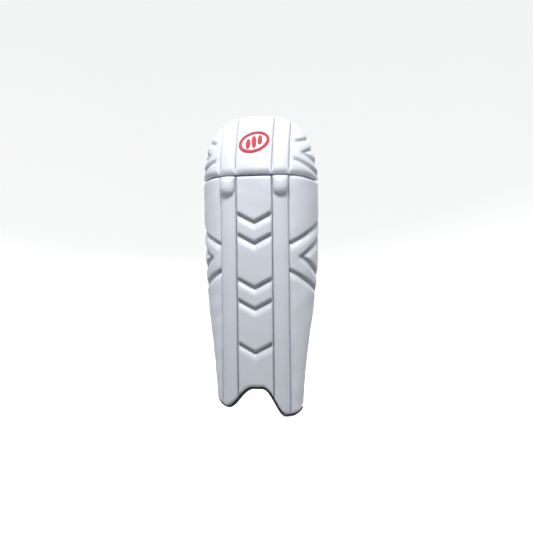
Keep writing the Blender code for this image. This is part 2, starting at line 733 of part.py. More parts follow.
def main():
    for old in list(bpy.data.objects):
        bpy.data.objects.remove(old)
    pad = bpy.data.collections.new("cricket_leg_pad")
    bpy.context.scene.collection.children.link(pad)
    moving = pivots()
    collections = {}
    for name in ("shin", *moving):
        collections[name] = bpy.data.collections.new(name)
        pad.children.link(collections[name])

    centre_panel(collections["shin"])
    cane_bolsters(collections["shin"])
    knuckles(collections["shin"])
    shin_back(collections["shin"])
    bindings(collections)
    for name, side in SIDES.items():
        wing(name, side, collections[f"{name}_wing"])
    for name, (z, width) in STRAPS.items():
        strap_tab(name, z, width, collections["inner_wing"])
        strap_ring(name, z, width, collections[f"{name}_ring"])
        strap(name, z, width, collections)
    flap(collections["knee_flap"])
    for name, pivot in moving.items():
        hang(collections[name], pivot - ORIGIN)


main()
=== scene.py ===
import math

import bmesh
import bpy
import numpy as np
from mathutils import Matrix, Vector


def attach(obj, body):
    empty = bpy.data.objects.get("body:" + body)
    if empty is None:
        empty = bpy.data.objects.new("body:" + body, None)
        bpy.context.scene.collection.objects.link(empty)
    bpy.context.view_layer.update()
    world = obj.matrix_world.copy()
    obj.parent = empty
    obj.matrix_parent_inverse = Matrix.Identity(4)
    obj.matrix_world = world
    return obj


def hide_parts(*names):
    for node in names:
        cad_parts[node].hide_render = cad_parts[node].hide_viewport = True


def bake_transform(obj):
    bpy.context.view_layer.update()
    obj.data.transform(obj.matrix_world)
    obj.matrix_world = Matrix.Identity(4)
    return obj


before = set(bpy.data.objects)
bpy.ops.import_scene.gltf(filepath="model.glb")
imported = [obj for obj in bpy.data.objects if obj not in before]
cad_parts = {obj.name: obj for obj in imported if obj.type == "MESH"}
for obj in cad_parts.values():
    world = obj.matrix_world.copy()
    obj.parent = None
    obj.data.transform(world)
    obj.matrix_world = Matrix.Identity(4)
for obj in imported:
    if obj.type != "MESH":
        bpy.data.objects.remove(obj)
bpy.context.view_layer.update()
STEP = 0.0013  # spacing of the fine surfaces

# Lengths are in metres. A place on the pad has a distance round the pad from the middle (along, or a), a
# height (z, or up on the knee flap), and a depth from the face towards the leg.

# ---- the pad's own surface, as in the CAD ----------------------------------
PAD_HEIGHT = 0.660
ORIGIN = np.array((0.00466, 0.0761, 0.0004))
KNEE_SEAM = 0.524
SEAM_GAP = 0.002
SEAM_DROP = 0.009
FLAT_HALF = 0.035
CENTRE_HALF = 0.0398
FRONT_HALF = 0.0770
CANE_MIDDLE = (CENTRE_HALF + FRONT_HALF) / 2
CANE_HALF = (FRONT_HALF - CENTRE_HALF) / 2
CANE_TURN = math.radians(18)
WING_REACH = 0.094
WING_TURN = {1: math.radians(78), -1: math.radians(90)}
SHIN_LEAN = 0.027
LAYER_GAP = 0.0003
BACK = 0.0156  # where the lining begins
COVER_BACK = BACK - LAYER_GAP
LINING = 0.0014
LINING_FACE = BACK + LINING
CUSHION_FRONT = LINING_FACE + LAYER_GAP
FLAP_PROUD = 0.006
FLAP_EDGES = {1: 0.158, -1: 0.138}
FLAP_LEAN_LOW = math.radians(8)
FLAP_LEAN_TOP = math.radians(30)
FLAP_CROWN = 0.003
CROWN_PIPING = 0.002
CHEVRONS = (0.4205, 0.3755, 0.2785, 0.2325, 0.1375)
CHEVRON_RISE = 0.021
NOTCH_TOP = 0.0645
NOTCH_MIDDLE = 0.004
NOTCH_INNER = (0.008, 0.062)
NOTCH_OUTER = (0.008, 0.055)
NOTCH_BEND = 1.2
LOBES = {1: (0.0, 0.071, 0.022), -1: (0.016, 0.062, 0.030)}
BINDING_R = 0.0028
HEM = 2 * BINDING_R + LAYER_GAP
STRAPS = {"knee": (0.486, 0.040), "calf": (0.340, 0.050), "ankle": (0.135, 0.040)}  # height and width
STRAP_THICK = 0.0026
RING_WIRE_R = 0.0018
RING_LENGTH = 0.014
TAB_REACH = 0.010
HOOK = 0.0014  # thickness of the hook tape, and of the loop tape
PATCH_GAP = 0.0006
BADGE_LONG, BADGE_TALL, BADGE_TILT = 0.070, 0.050, math.radians(18)
BADGE_MIDDLE = 0.071
OUTER, INNER = 1, -1
SIDES = {"outer": OUTER, "inner": INNER}

# ---- the padding's own relief ----------------------------------------------
EDGE = 0.008  # how far a panel's ends are rolled
CREASE = 0.0082  # depth of the chevrons
# how strongly the walls above the creases are darkened: painted shade
CREASE_PAINTED_SHADE = 0.68
SEAM_ROLL = 0.0062  # how far a panel's edge rolls in towards a seam
SEAM_FALL = 0.0066  # and how deep
QUILT = 0.42  # where the stitch row on a wing's lining runs, as a share of the wing's width
HEM_INSET = 0.0075  # and how far the other row is from the wing's edge
SEAM_DEPTH = LINING_FACE - 0.0006  # depth of the stitches on the linings

# ---- the camera, the backdrop and the lights -------------------------------
CAMERA_TURN, CAMERA_ROLL = math.radians(10.0), math.radians(-0.35)
CAMERA_DISTANCE, VIEW_WIDTH, SENSOR = 1.40, 1.150, 36.0
CAMERA_HEIGHT, CAMERA_ASIDE = 0.3267, 0.0270
FLOOR_REACH, FLOOR_BEND, WALL_TOP, FLOOR_BELOW = 2.0, 1.4, 5.0, 0.0006
BACKDROP_GLOW, WORLD_GLOW = 0.63, 0.23
LIGHTS = {  # place, target, size, power in watts and colour
    "key": ((0.02, -0.80, 1.50), (0.0, 0.0, 0.45), (0.5, 0.35), 19.0, (1.0, 1.0, 1.0)),
    "left_fill": ((-1.5, -0.9, 0.9), (0.0, 0.0, 0.35), (0.8, 1.2), 1.8, (0.82, 0.87, 1.0)),
    "right_fill": ((1.6, -0.6, 1.0), (0.0, 0.0, 0.35), (0.8, 1.2), 2.1, (0.96, 1.0, 0.98)),
    "back_key": ((-0.5, 1.5, 1.9), (0.0, 0.0, 0.35), (0.8, 0.6), 40.0, (1.0, 1.0, 1.0)),
    "back_fill": ((1.0, 1.6, 0.9), (0.0, 0.0, 0.35), (0.8, 1.2), 7.0, (0.97, 0.98, 1.0)),
}

CANE_CURVATURE = CANE_TURN / (FRONT_HALF - FLAT_HALF)
WING_CURVATURE = {side: (turn - CANE_TURN) / WING_REACH for side, turn in WING_TURN.items()}
SEAM_X = FLAT_HALF + math.sin(CANE_TURN) / CANE_CURVATURE
SEAM_Y = (1 - math.cos(CANE_TURN)) / CANE_CURVATURE


def smooth(t):
    """An ease from 0 to 1."""
    t = np.clip(t, 0.0, 1.0)
    return t * t * (3 - 2 * t)


def mix(a, b, t):
    """The value that is a share t of the way from a to b."""
    return a + (b - a) * t


def section(along):
    """Where the face is in plan at that distance round the pad: x (without its sign), y and heading."""
    reach = np.abs(along)
    curvature = np.where(np.asarray(along) > 0, WING_CURVATURE[OUTER], WING_CURVATURE[INNER])
    heading = np.where(reach <= FRONT_HALF, CANE_CURVATURE * np.maximum(reach - FLAT_HALF, 0.0),
                       CANE_TURN + curvature * (reach - FRONT_HALF))
    on_wing = reach > FRONT_HALF
    x = np.where(on_wing, SEAM_X + (np.sin(heading) - math.sin(CANE_TURN)) / curvature,
                 np.minimum(reach, FLAT_HALF) + np.sin(heading) / CANE_CURVATURE)
    y = np.where(on_wing, SEAM_Y + (math.cos(CANE_TURN) - np.cos(heading)) / curvature,
                 (1 - np.cos(heading)) / CANE_CURVATURE)
    return x, y, heading


def shin_point(along, z, depth):
    """A place on the shin or a wing."""
    along, z, depth = np.broadcast_arrays(along, z, depth)
    x, y, heading = section(along)
    x = np.copysign(x - depth * np.sin(heading), along)
    y = y + depth * np.cos(heading) + SHIN_LEAN * (KNEE_SEAM - z)
    return np.stack([x, y, z], axis=-1) - ORIGIN


def seam_drop(along):
    """How much lower the knee seam is out on the wings."""
    return SEAM_DROP * smooth((np.abs(along) - FRONT_HALF) / WING_REACH)


def flap_length():
    """The flap's length up its curve, from the pad's height."""
    middle = (FLAP_LEAN_LOW + FLAP_LEAN_TOP) / 2
    turn = FLAP_LEAN_TOP - FLAP_LEAN_LOW
    rise = PAD_HEIGHT - CROWN_PIPING - KNEE_SEAM - SEAM_GAP
    return rise / math.cos(middle) * (turn / 2) / math.sin(turn / 2)


FLAP_LENGTH = flap_length()


def flap_point(along, up, depth):
    """A place on the knee flap, where up is measured along its curve."""
    along, up, depth = np.broadcast_arrays(along, up, depth)
    x, y, heading = section(along)
    curvature = (FLAP_LEAN_TOP - FLAP_LEAN_LOW) / FLAP_LENGTH
    lean = FLAP_LEAN_LOW + curvature * up
    rise = (np.sin(lean) - math.sin(FLAP_LEAN_LOW)) / curvature
    back = (math.cos(FLAP_LEAN_LOW) - np.cos(lean)) / curvature
    depth = depth - FLAP_PROUD * (1 - 0.6 * smooth((np.abs(along) - CENTRE_HALF) / WING_REACH))
    x = np.copysign(x - depth * np.sin(heading), along)
    y = y + depth * np.cos(heading) * np.cos(lean) + back
    z = KNEE_SEAM + SEAM_GAP - seam_drop(along) + rise - depth * np.cos(heading) * np.sin(lean)
    return np.stack([x, y, z], axis=-1) - ORIGIN


def shin_top(along):
    return KNEE_SEAM - seam_drop(along)


def wing_width(side, z):
    """A wing's width round its curve at a height."""
    if side == OUTER:
        return mix(0.029, WING_REACH, smooth(z / 0.420))
    return mix(0.017, 0.080, smooth(z / 0.480))


def lobe(along):
    """The height of the bottom edge beside the notch."""
    along = np.asarray(along, float)
    low = np.zeros_like(along)
    for side, (rise, start, lift) in LOBES.items():
        end = FRONT_HALF + wing_width(side, 0.0)
        t = np.clip((np.abs(along) - start) / (end - start), 0.0, 0.97)
        here = (along > 0) if side == OUTER else (along <= 0)
        low = np.where(here, HEM + rise + lift * (1 - np.sqrt(1 - t * t)), low)
    return low


def shin_bottom(along):
    """The height of the bottom edge, with the notch over the foot."""
    along = np.asarray(along, float)
    off = np.abs(along - NOTCH_MIDDLE)
    outer = along > NOTCH_MIDDLE
    flat = np.where(outer, NOTCH_OUTER[0], NOTCH_INNER[0])
    slope = np.where(outer, NOTCH_OUTER[1], NOTCH_INNER[1])
    low = lobe(along)
    down = np.maximum((off - flat) / slope, 0.0) ** NOTCH_BEND
    return low + (NOTCH_TOP - low) * (1 - smooth(down))


def flap_top(along):
    """How far up the flap's arch is."""
    along = np.asarray(along, float)
    edge = np.where(along > 0, FLAP_EDGES[OUTER], FLAP_EDGES[INNER])
    return FLAP_LENGTH * (1 - np.minimum(np.abs(along) / (edge * 1.035), 1.0) ** 3.2) ** 1.1


def from_ends(a, z, bottom=shin_bottom, top=shin_top):
    """How far a place is from the nearer end of its column."""
    return np.minimum(z - bottom(a), top(a) - z)


def roll(edge, radius, fall):
    """How deep a rounded edge falls at a distance from it."""
    t = 1 - np.clip(edge, 0.0, radius) / radius
    return fall * (1 - np.sqrt(np.maximum(1 - t * t, 0.0)))


def unevenness(a, z, seed, size):
    """A gentle, fixed unevenness of about -1 to 1, with bumps of about that size."""
    rng = np.random.default_rng(seed)
    total = np.zeros(np.broadcast(a, z).shape)
    for _ in range(7):
        angle, phase = rng.uniform(0, 2 * math.pi, 2)
        wave = 2 * math.pi / (size * rng.uniform(0.7, 1.6))
        total = total + np.sin(wave * (math.cos(angle) * a + math.sin(angle) * z) + phase)
    return total / 4.0


def above(a, z, path):
    """How far a place is from a line of points, and counted as negative below it."""
    nearest, signed = np.full(np.shape(a), np.inf), np.zeros(np.shape(a))
    for first, last in zip(path, path[1:]):
        dx, dz = last[0] - first[0], last[1] - first[1]
        length = math.hypot(dx, dz)
        t = np.clip(((a - first[0]) * dx + (z - first[1]) * dz) / length**2, 0.0, 1.0)
        apart = np.hypot(a - first[0] - t * dx, z - first[1] - t * dz)
        over = ((z - first[1]) * dx - (a - first[0]) * dz) * math.copysign(1.0, dx)
        signed = np.where(apart < nearest, np.copysign(apart, over), signed)
        nearest = np.minimum(apart, nearest)
    return signed


def pressed_crease(over, wall=0.0084, slope=0.0165, bend=0.0):
    """A crease pressed into padding, 0 to 1: a short wall above its line, and a long slope below it.

    bend is how rounded the crease is at its deepest.
    """
    off = np.sqrt(over * over + bend * bend) - bend
    w = off / wall
    upper = np.where(w < 0.75, 1 - w, np.maximum(1.25 - w, 0.0) ** 2)
    lower = np.clip(1 - off / slope, 0.0, 1.0) ** 2
    return np.where(over > 0, upper, lower)


def wall_shade(over, pressed):
    """Painted shade on the short wall above a crease's line, 0 to 1."""
    return smooth(2.2 * pressed) * np.clip((over + STEP) / STEP, 0.0, 1.0)


# ---- materials -------------------------------------------------------------
def surface(name, colour, roughness):
    """A new material, its node tree, its shader, and the object's own coordinates for its patterns."""
    made = bpy.data.materials.new(name)
    made.use_nodes = True
    tree = made.node_tree
    shader = tree.nodes["Principled BSDF"]
    shader.inputs["Base Color"].default_value = (*colour, 1.0)
    shader.inputs["Roughness"].default_value = roughness
    coords = tree.nodes.new("ShaderNodeTexCoord").outputs["Object"]
    return made, tree, shader, coords


def link(tree, source, target):
    tree.links.new(source, target)


def pattern(tree, kind, coords, values, output="Fac"):
    """A pattern's node with these values on its sockets, and one of its outputs."""
    node = tree.nodes.new("ShaderNodeTex" + kind)
    for name, value in values.items():
        node.inputs[name].default_value = value
    link(tree, coords, node.inputs["Vector"])
    return node, node.outputs[output]


def noise(tree, scale, detail, coords):
    return pattern(tree, "Noise", coords, {"Scale": scale, "Detail": detail})[1]


def yarns(tree, direction, scale, distortion, detail, coords):
    values = {"Scale": scale, "Distortion": distortion, "Detail": detail}
    node, fac = pattern(tree, "Wave", coords, values)
    node.bands_direction = direction
    return fac


def tinted(tree, source, low, high, dark, colour):
    """The colour where the pattern is high, and a darker share of it where the pattern is low."""
    node = tree.nodes.new("ShaderNodeValToRGB")
    first, last = node.color_ramp.elements
    first.position = low
    first.color = (*(c * dark for c in colour), 1.0)
    last.position = high
    last.color = (*colour, 1.0)
    link(tree, source, node.inputs["Fac"])
    return node.outputs["Color"]


def vary_roughness(tree, shader, source, low, high):
    node = tree.nodes.new("ShaderNodeMapRange")
    node.inputs["To Min"].default_value = low
    node.inputs["To Max"].default_value = high
    link(tree, source, node.inputs["Value"])
    link(tree, node.outputs["Result"], shader.inputs["Roughness"])


def bump(tree, shader, source, strength, distance, before=None):
    """Relief from a pattern, on top of what was there before."""
    node = tree.nodes.new("ShaderNodeBump")
    node.inputs["Strength"].default_value = strength
    node.inputs["Distance"].default_value = distance
    link(tree, source, node.inputs["Height"])
    if before is not None:
        link(tree, before, node.inputs["Normal"])
    link(tree, node.outputs["Normal"], shader.inputs["Normal"])
    return node.outputs["Normal"]


def faux_leather(name, colour, painted_shade_colour):
    """Coated cloth: a fine pebbled grain, a soft sheen, and a painted shade colour that darkens its seams and
    grooves.
    """
    made, tree, shader, coords = surface(name, colour, 0.40)
    # the hollow attribute blends the painted shade colour in where seams and creases fall into shade
    hollow = tree.nodes.new("ShaderNodeAttribute")
    hollow.attribute_name = "hollow"
    blend = tree.nodes.new("ShaderNodeMix")
    blend.data_type = "RGBA"
    link(tree, hollow.outputs["Fac"], blend.inputs["Factor"])
    link(tree, tinted(tree, noise(tree, 9.0, 4.0, coords), 0.35, 0.68, 0.955, colour), blend.inputs["A"])
    blend.inputs["B"].default_value = (*painted_shade_colour, 1.0)
    link(tree, blend.outputs["Result"], shader.inputs["Base Color"])
    vary_roughness(tree, shader, noise(tree, 26.0, 3.0, coords), 0.34, 0.50)
    grain = pattern(tree, "Voronoi", coords, {"Scale": 720.0}, "Distance")[1]
    first = bump(tree, shader, grain, 0.20, 0.0004)
    bump(tree, shader, noise(tree, 120.0, 3.0, coords), 0.10, 0.0010, first)
    shader.inputs["Specular IOR Level"].default_value = 0.5
    shader.inputs["Coat Weight"].default_value = 0.12
    shader.inputs["Coat Roughness"].default_value = 0.30
    return made


def woven(name, colour, scale, roughness, strength=0.5):
    """Cloth with crossing yarns; the pattern follows the object, so it doesn't depend on an unwrap."""
    made, tree, shader, coords = surface(name, colour, roughness)
    both = tree.nodes.new("ShaderNodeMath")
    both.operation = "MULTIPLY"
    for number, direction in enumerate(("X", "Z")):
        link(tree, yarns(tree, direction, scale, 0.6, 1.0, coords), both.inputs[number])
    shade = tree.nodes.new("ShaderNodeMix")
    shade.data_type = "RGBA"
    shade.blend_type = "MULTIPLY"
    shade.inputs["Factor"].default_value = 0.25
    link(tree, tinted(tree, noise(tree, 14.0, 4.0, coords), 0.3, 0.7, 0.90, colour), shade.inputs["A"])
    link(tree, both.outputs["Value"], shade.inputs["B"])
    link(tree, shade.outputs["Result"], shader.inputs["Base Color"])
    bump(tree, shader, both.outputs["Value"], strength, 0.0006)
    shader.inputs["Sheen Weight"].default_value = 0.15
    shader.inputs["Sheen Roughness"].default_value = 0.5
    return made


def fuzzy(name, colour):
    """The pile of hook and loop tape."""
    made, tree, shader, coords = surface(name, colour, 0.95)
    pile = noise(tree, 900.0, 2.0, coords)
    link(tree, tinted(tree, pile, 0.3, 0.75, 0.7, colour), shader.inputs["Base Color"])
    bump(tree, shader, pile, 0.8, 0.0008)
    shader.inputs["Sheen Weight"].default_value = 0.3
    return made


def embroidery(name, colour):
    """Satin stitch: parallel shiny threads, a little uneven."""
    made, tree, shader, coords = surface(name, colour, 0.45)
    threads = yarns(tree, "X", 420.0, 1.4, 2.0, coords)
    link(tree, tinted(tree, threads, 0.1, 0.9, 0.72, colour), shader.inputs["Base Color"])
    bump(tree, shader, threads, 0.7, 0.0005)
    shader.inputs["Sheen Weight"].default_value = 0.3
    return made


def plastic(name, colour):
    """Moulded plastic with faint scuffs."""
    made, tree, shader, coords = surface(name, colour, 0.30)
    scuffs = noise(tree, 90.0, 5.0, coords)
    vary_roughness(tree, shader, scuffs, 0.22, 0.45)
    bump(tree, shader, scuffs, 0.08, 0.0005)
    return made


MATERIALS = {
    # each faux leather's second colour is its painted shade colour for seams and creases
    "white_cover": faux_leather("white_faux_leather", (0.745, 0.776, 0.845), (0.13, 0.14, 0.16)),
    "piping_white": faux_leather("white_piping", (0.74, 0.75, 0.78), (0.5, 0.5, 0.53)),
    "lining": woven("lining_cloth", (0.76, 0.77, 0.79), 330.0, 0.9),
    "binding_black": woven("black_tape", (0.020, 0.020, 0.023), 300.0, 0.75, 0.7),
    "webbing": woven("white_webbing", (0.80, 0.81, 0.83), 190.0, 0.85, 0.9),
    "hook_loop": fuzzy("hook_and_loop", (0.60, 0.61, 0.63)),
    "ring_plastic": plastic("black_plastic", (0.02, 0.02, 0.022)),
    "badge_red": embroidery("red_embroidery", (0.74, 0.045, 0.085)),
    "thread": embroidery("white_thread", (0.78, 0.79, 0.80)),
}


def finish_piece(made, finish, body, nodes=(), fill=None):
    """Give a piece its material and its body, and hide the CAD solids it stands for."""
    made.data.materials.append(MATERIALS[finish])
    if body:
        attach(made, body)
    if nodes:
        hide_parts(*nodes)
    return made


def hinge(made, side):
    """Bake a wing's piece's placement into its mesh."""
    ends = [shin_point(side * (FRONT_HALF + off), 0.26, LINING_FACE) for off in (0.0, 0.014)]
    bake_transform(made)


# ---- fine surfaces ---------------------------------------------------------
def mesh_object(name, vertices, faces, hollow=None):
    """A mesh with its faces outwards; hollow is the painted shade at each vertex, 0 to 1."""
    mesh = bpy.data.meshes.new(name)
    mesh.from_pydata([tuple(v) for v in vertices], [], faces)
    if hollow is not None:
        layer = mesh.attributes.new("hollow", "FLOAT", "POINT")
        layer.data.foreach_set("value", np.asarray(hollow, np.float32))
    bm = bmesh.new()
    bm.from_mesh(mesh)
    if hollow is None:
        bmesh.ops.remove_doubles(bm, verts=bm.verts[:], dist=1e-6)
    bmesh.ops.recalc_face_normals(bm, faces=bm.faces[:])
    if bm.calc_volume(signed=True) < 0:
        bmesh.ops.reverse_faces(bm, faces=bm.faces[:])
    bm.to_mesh(mesh)
    bm.free()
    mesh.shade_smooth()
    mesh.set_sharp_from_angle(angle=math.radians(50))
    made = bpy.data.objects.new(name, mesh)
    bpy.context.scene.collection.objects.link(made)
    return made


def quads(index):
    """The four-sided faces of a grid of vertices."""
    corners = [index[:-1, :-1], index[1:, :-1], index[1:, 1:], index[:-1, 1:]]
    return np.stack(corners, axis=-1).reshape(-1, 4).tolist()


def slab(name, a, z, fine, coarse, point, hollow=0.0, every=4):
    """A closed sheet between a fine surface and a plain one behind it.

    a and z are grids of places on the pad's surface; fine and coarse are the depths there. hollow is the fine
    surface's painted shade, and every is how much coarser the plain one's grid is.
    """
    columns, rows = a.shape
    keep_i = sorted({*range(0, columns, every), columns - 1})
    keep_j = sorted({*range(0, rows, every), rows - 1})
    front = point(a, z, np.broadcast_to(fine, a.shape)).reshape(-1, 3)
    behind = point(a, z, np.broadcast_to(coarse, a.shape))
    back = behind[np.ix_(keep_i, keep_j)].reshape(-1, 3)
    ahead = np.arange(len(front)).reshape(columns, rows)
    plain = len(front) + np.arange(len(back)).reshape(len(keep_i), len(keep_j))
    faces = quads(ahead) + quads(plain.T)
    for fine_grid, plain_grid, keep in ((ahead, plain, keep_i), (ahead.T, plain.T, keep_j)):
        for rim in (0, -1):
            for k, (start, end) in enumerate(zip(keep, keep[1:])):
                run = fine_grid[start : end + 1, rim].tolist()
                faces.append((*run, int(plain_grid[k + 1, rim]), int(plain_grid[k, rim])))
    shade = np.zeros(len(front) + len(back))
    shade[: len(front)] = np.broadcast_to(np.clip(hollow, 0.0, 1.0), a.shape).reshape(-1)
    return mesh_object(name, np.concatenate([front, back]), faces, shade)


ROLLED = np.array([1 - math.cos(math.pi / 2 * i / 6) for i in range(6)])  # shares that grow away from an edge


def spread(low, high, edge, step):
    """Places from low to high, closer together near both ends."""
    count = max(int(round((high - low - 2 * edge) / step)), 2)
    inside = [mix(low + edge, high - edge, i / count) for i in range(count + 1)]
    return np.concatenate([low + edge * ROLLED, inside, high - edge * ROLLED[::-1]])


def grid(columns, bottom, top, edge, step):
    """Grids of places between two edges that are functions of the place round the pad."""
    lows, highs = bottom(columns), top(columns)
    count = max(int(round((float(np.max(highs - lows)) - 2 * edge) / step)), 4)
    room = np.minimum(edge, (highs - lows) * 0.3)
    rows = [lows + share * room for share in ROLLED]
    rows += [mix(lows + room, highs - room, i / count) for i in range(count + 1)]
    rows += [highs - share * room for share in ROLLED[::-1]]
    z = np.stack(rows, axis=1)
    return np.repeat(columns[:, None], z.shape[1], axis=1), z


def dome_grid(across, upwards):
    """Grids of u from -1 to 1 and v from 0 to 1, both closer together towards their ends."""
    u, v = (np.sin(np.linspace(-math.pi / 2, math.pi / 2, count)) for count in (across, upwards))
    return np.meshgrid(u, 0.5 + 0.5 * v, indexing="ij")


def seam_pucker(z, from_seam, seed):
    """Short creases that run out of a sewn seam and fade over about 12 mm."""
    rng = np.random.default_rng(seed)
    phase = rng.uniform(0, 6.28, 4)
    at = 2 * math.pi * z
    wave = np.sin(at / 0.0115 + phase[0] + 1.6 * np.sin(at / 0.043 + phase[1]))
    gate = 0.5 + 0.5 * np.sin(at / 0.087 + phase[2]) * np.sin(at / 0.031 + phase[3])
    return 0.00030 * wave * gate * np.exp(-from_seam / 0.006)


# ---- the shin --------------------------------------------------------------
def chevron_rise(a):
    """How far a chevron is above its point, which is slightly rounded."""
    rounded = 0.0012
    return CHEVRON_RISE / CENTRE_HALF * (np.sqrt(a * a + rounded**2) - rounded)


def centre_grid():
    """Columns across the centre panel, and rows that bend to run along the chevrons."""
    half = CENTRE_HALF - LAYER_GAP
    columns = spread(-half, half, SEAM_ROLL, STEP)
    low, high = float(shin_bottom(0.0)), float(shin_top(0.0))
    marks = [low, *sorted(CHEVRONS), high]
    heights = []
    for first, last in zip(marks, marks[1:]):
        heights += list(np.linspace(first, last, int(round((last - first) / STEP)) + 1)[:-1])
    edges = 0.0035 * np.array((0.25, 0.6, 1.0))
    heights = np.unique(np.concatenate([heights, [high], low + edges, high - edges]))
    a, level = np.meshgrid(columns, heights, indexing="ij")
    bent = smooth((level - low) / 0.070) * smooth((high - level) / 0.070)
    notch = (shin_bottom(a) - low) * smooth(1 - (level - low) / 0.075)
    return a, level + chevron_rise(a) * bent + notch


def centre_panel():
    a, z = centre_grid()
    edge = CENTRE_HALF - np.abs(a)
    fall = np.maximum(roll(edge, SEAM_ROLL, SEAM_FALL), roll(from_ends(a, z), EDGE, 0.0078))
    crown = 0.0024 * (1 - (a / CENTRE_HALF) ** 2)
    pressed, shade = np.zeros_like(a), np.zeros_like(a)
    slant = math.cos(math.atan(CHEVRON_RISE / CENTRE_HALF))
    for tip in CHEVRONS:
        over = (z - tip - chevron_rise(a)) * slant
        here = pressed_crease(over)
        pressed = np.maximum(pressed, here)
        shade = np.maximum(shade, wall_shade(over, here))
    inside = smooth((edge - 0.0005) / 0.005)
    depth = fall - crown + CREASE * pressed * inside
    depth = depth + 0.00045 * unevenness(a, z, 3, 0.055) + seam_pucker(z, edge, 11)
    # painted shade: the walls above the chevrons and the rolls into the seams are darkened
    hollow = CREASE_PAINTED_SHADE * shade * inside + np.clip(fall / SEAM_FALL, 0, 1) ** 1.5
    made = slab("centre_panel", a, z, depth, COVER_BACK, shin_point, hollow)
    finish_piece(made, "white_cover", "shin", ["centre_panel_cover", "centre_panel_foam"], 0.7)


def cane_depth(a, z):
    """The depth of a cane panel's face, how far it falls at its seams, and how far a place is from them."""
    off = np.abs(np.abs(a) - CANE_MIDDLE)
    edge = CANE_HALF - off
    fall = np.maximum(roll(edge, SEAM_ROLL, SEAM_FALL), roll(from_ends(a, z), EDGE, 0.0062))
    return fall - 0.0034 * (1 - (off / CANE_HALF) ** 2), fall, edge


def cane_panels():
    for name, side in SIDES.items():
        columns = side * spread(CENTRE_HALF + LAYER_GAP, FRONT_HALF - LAYER_GAP, EDGE, STEP)
        a, z = grid(columns, shin_bottom, shin_top, EDGE, STEP)
        depth, fall, edge = cane_depth(a, z)
        depth = depth + 0.0004 * unevenness(a, z, 5 + side, 0.06) + seam_pucker(z, edge, 17 + side)
        tone = np.where(np.abs(a) < CANE_MIDDLE, 1.0, 0.40)  # painted shade in the seams, stronger beside the centre
        hollow = tone * np.clip(fall / SEAM_FALL, 0, 1) ** 2
        made = slab(f"{name}_cane_panel", a, z, depth, COVER_BACK, shin_point, hollow)
        inside = [f"{name}_cane_{i}" for i in (1, 2, 3)]
        finish_piece(made, "white_cover", "shin", [f"{name}_cane_cover", f"{name}_cane_foam", *inside], 0.8)


def knuckles():
    """The bulging caps under the knee flap, each sewn down on a cane panel."""
    top, tall, half = KNEE_SEAM - 0.0045, 0.037, 0.0168
    most, rim, proud = 0.0108, 0.0008, 0.0006
    count = 34
    for name, side in SIDES.items():
        u, v = dome_grid(count, count)
        narrow = np.sqrt(np.maximum(1 - (1 - np.minimum(v / 0.45, 1.0)) ** 2, 0.0))
        a = side * (CANE_MIDDLE + half * u * mix(0.30, 1.0, narrow))
        z = top - tall * (1 - v)
        under = cane_depth(a, z)[0] - proud
        upwards = np.minimum(narrow, np.sqrt(np.maximum(1 - v**6, 0.0)))
        bulge = most * np.sqrt(np.maximum(1 - u * u, 0.0)) * upwards
        crease = 0.0003 * np.sin(v * 40 + side) * np.exp(-(1 - np.abs(u)) / 0.25)
        # painted shade round the cap's rim, where it bulges out from the panel
        hollow = (1 - bulge / most) ** 3 * 0.5
        made = slab(f"{name}_knuckle", a, z, under - rim - bulge + crease, under, shin_point, hollow)
        finish_piece(made, "white_cover", "shin", [f"{name}_knee_knuckle"], 0.9)


# each groove's fade at its start, then its points as (along, height); the middle two of a set meet
WING_GROOVES = (
    (0.012, ((0.074, 0.372), (0.090, 0.380), (0.112, 0.392), (0.140, 0.410), (0.178, 0.436))),
    (0.005, ((0.107, 0.3478), (0.134, 0.368), (0.168, 0.396))),
    (0.005, ((0.107, 0.3472), (0.134, 0.327), (0.168, 0.300))),
    (0.012, ((0.074, 0.318), (0.100, 0.305), (0.130, 0.287), (0.172, 0.258))),
)
FLAP_GROOVES = (
    (0.012, ((0.086, 0.072), (0.104, 0.078), (0.126, 0.089))),
    (0.006, ((0.108, 0.0498), (0.120, 0.057), (0.140, 0.069))),
    (0.006, ((0.108, 0.0492), (0.124, 0.043), (0.152, 0.031))),
    (0.012, ((0.084, 0.033), (0.110, 0.025), (0.160, 0.009))),
)


def creases(a, z, grooves, wall, slope):
    """How far padding is pressed in by creases that fade in from their first points, and their shade.

    Both are 0 to 1, and the shade is only on the walls above the creases' lines.
    """
    pressed, shade = np.zeros_like(a), np.zeros_like(a)
    for fade, path in grooves:
        start = smooth((np.hypot(np.abs(a) - path[0][0], z - path[0][1]) + 0.0025) / fade)
        over = above(np.abs(a), z, path)
        here = start * pressed_crease(over, wall, slope, 0.0007)
        pressed = np.maximum(pressed, here)
        shade = np.maximum(shade, wall_shade(over, here))
    return pressed, shade


def wing_spot(side, u, v):
    """A place on a wing, from its shares of the width and the height."""
    z = mix(HEM, KNEE_SEAM, v)
    for _ in range(4):
        a = side * mix(FRONT_HALF + LAYER_GAP, FRONT_HALF + wing_width(side, z), u)
        z = mix(lobe(a), shin_top(a), v)
    return a, z


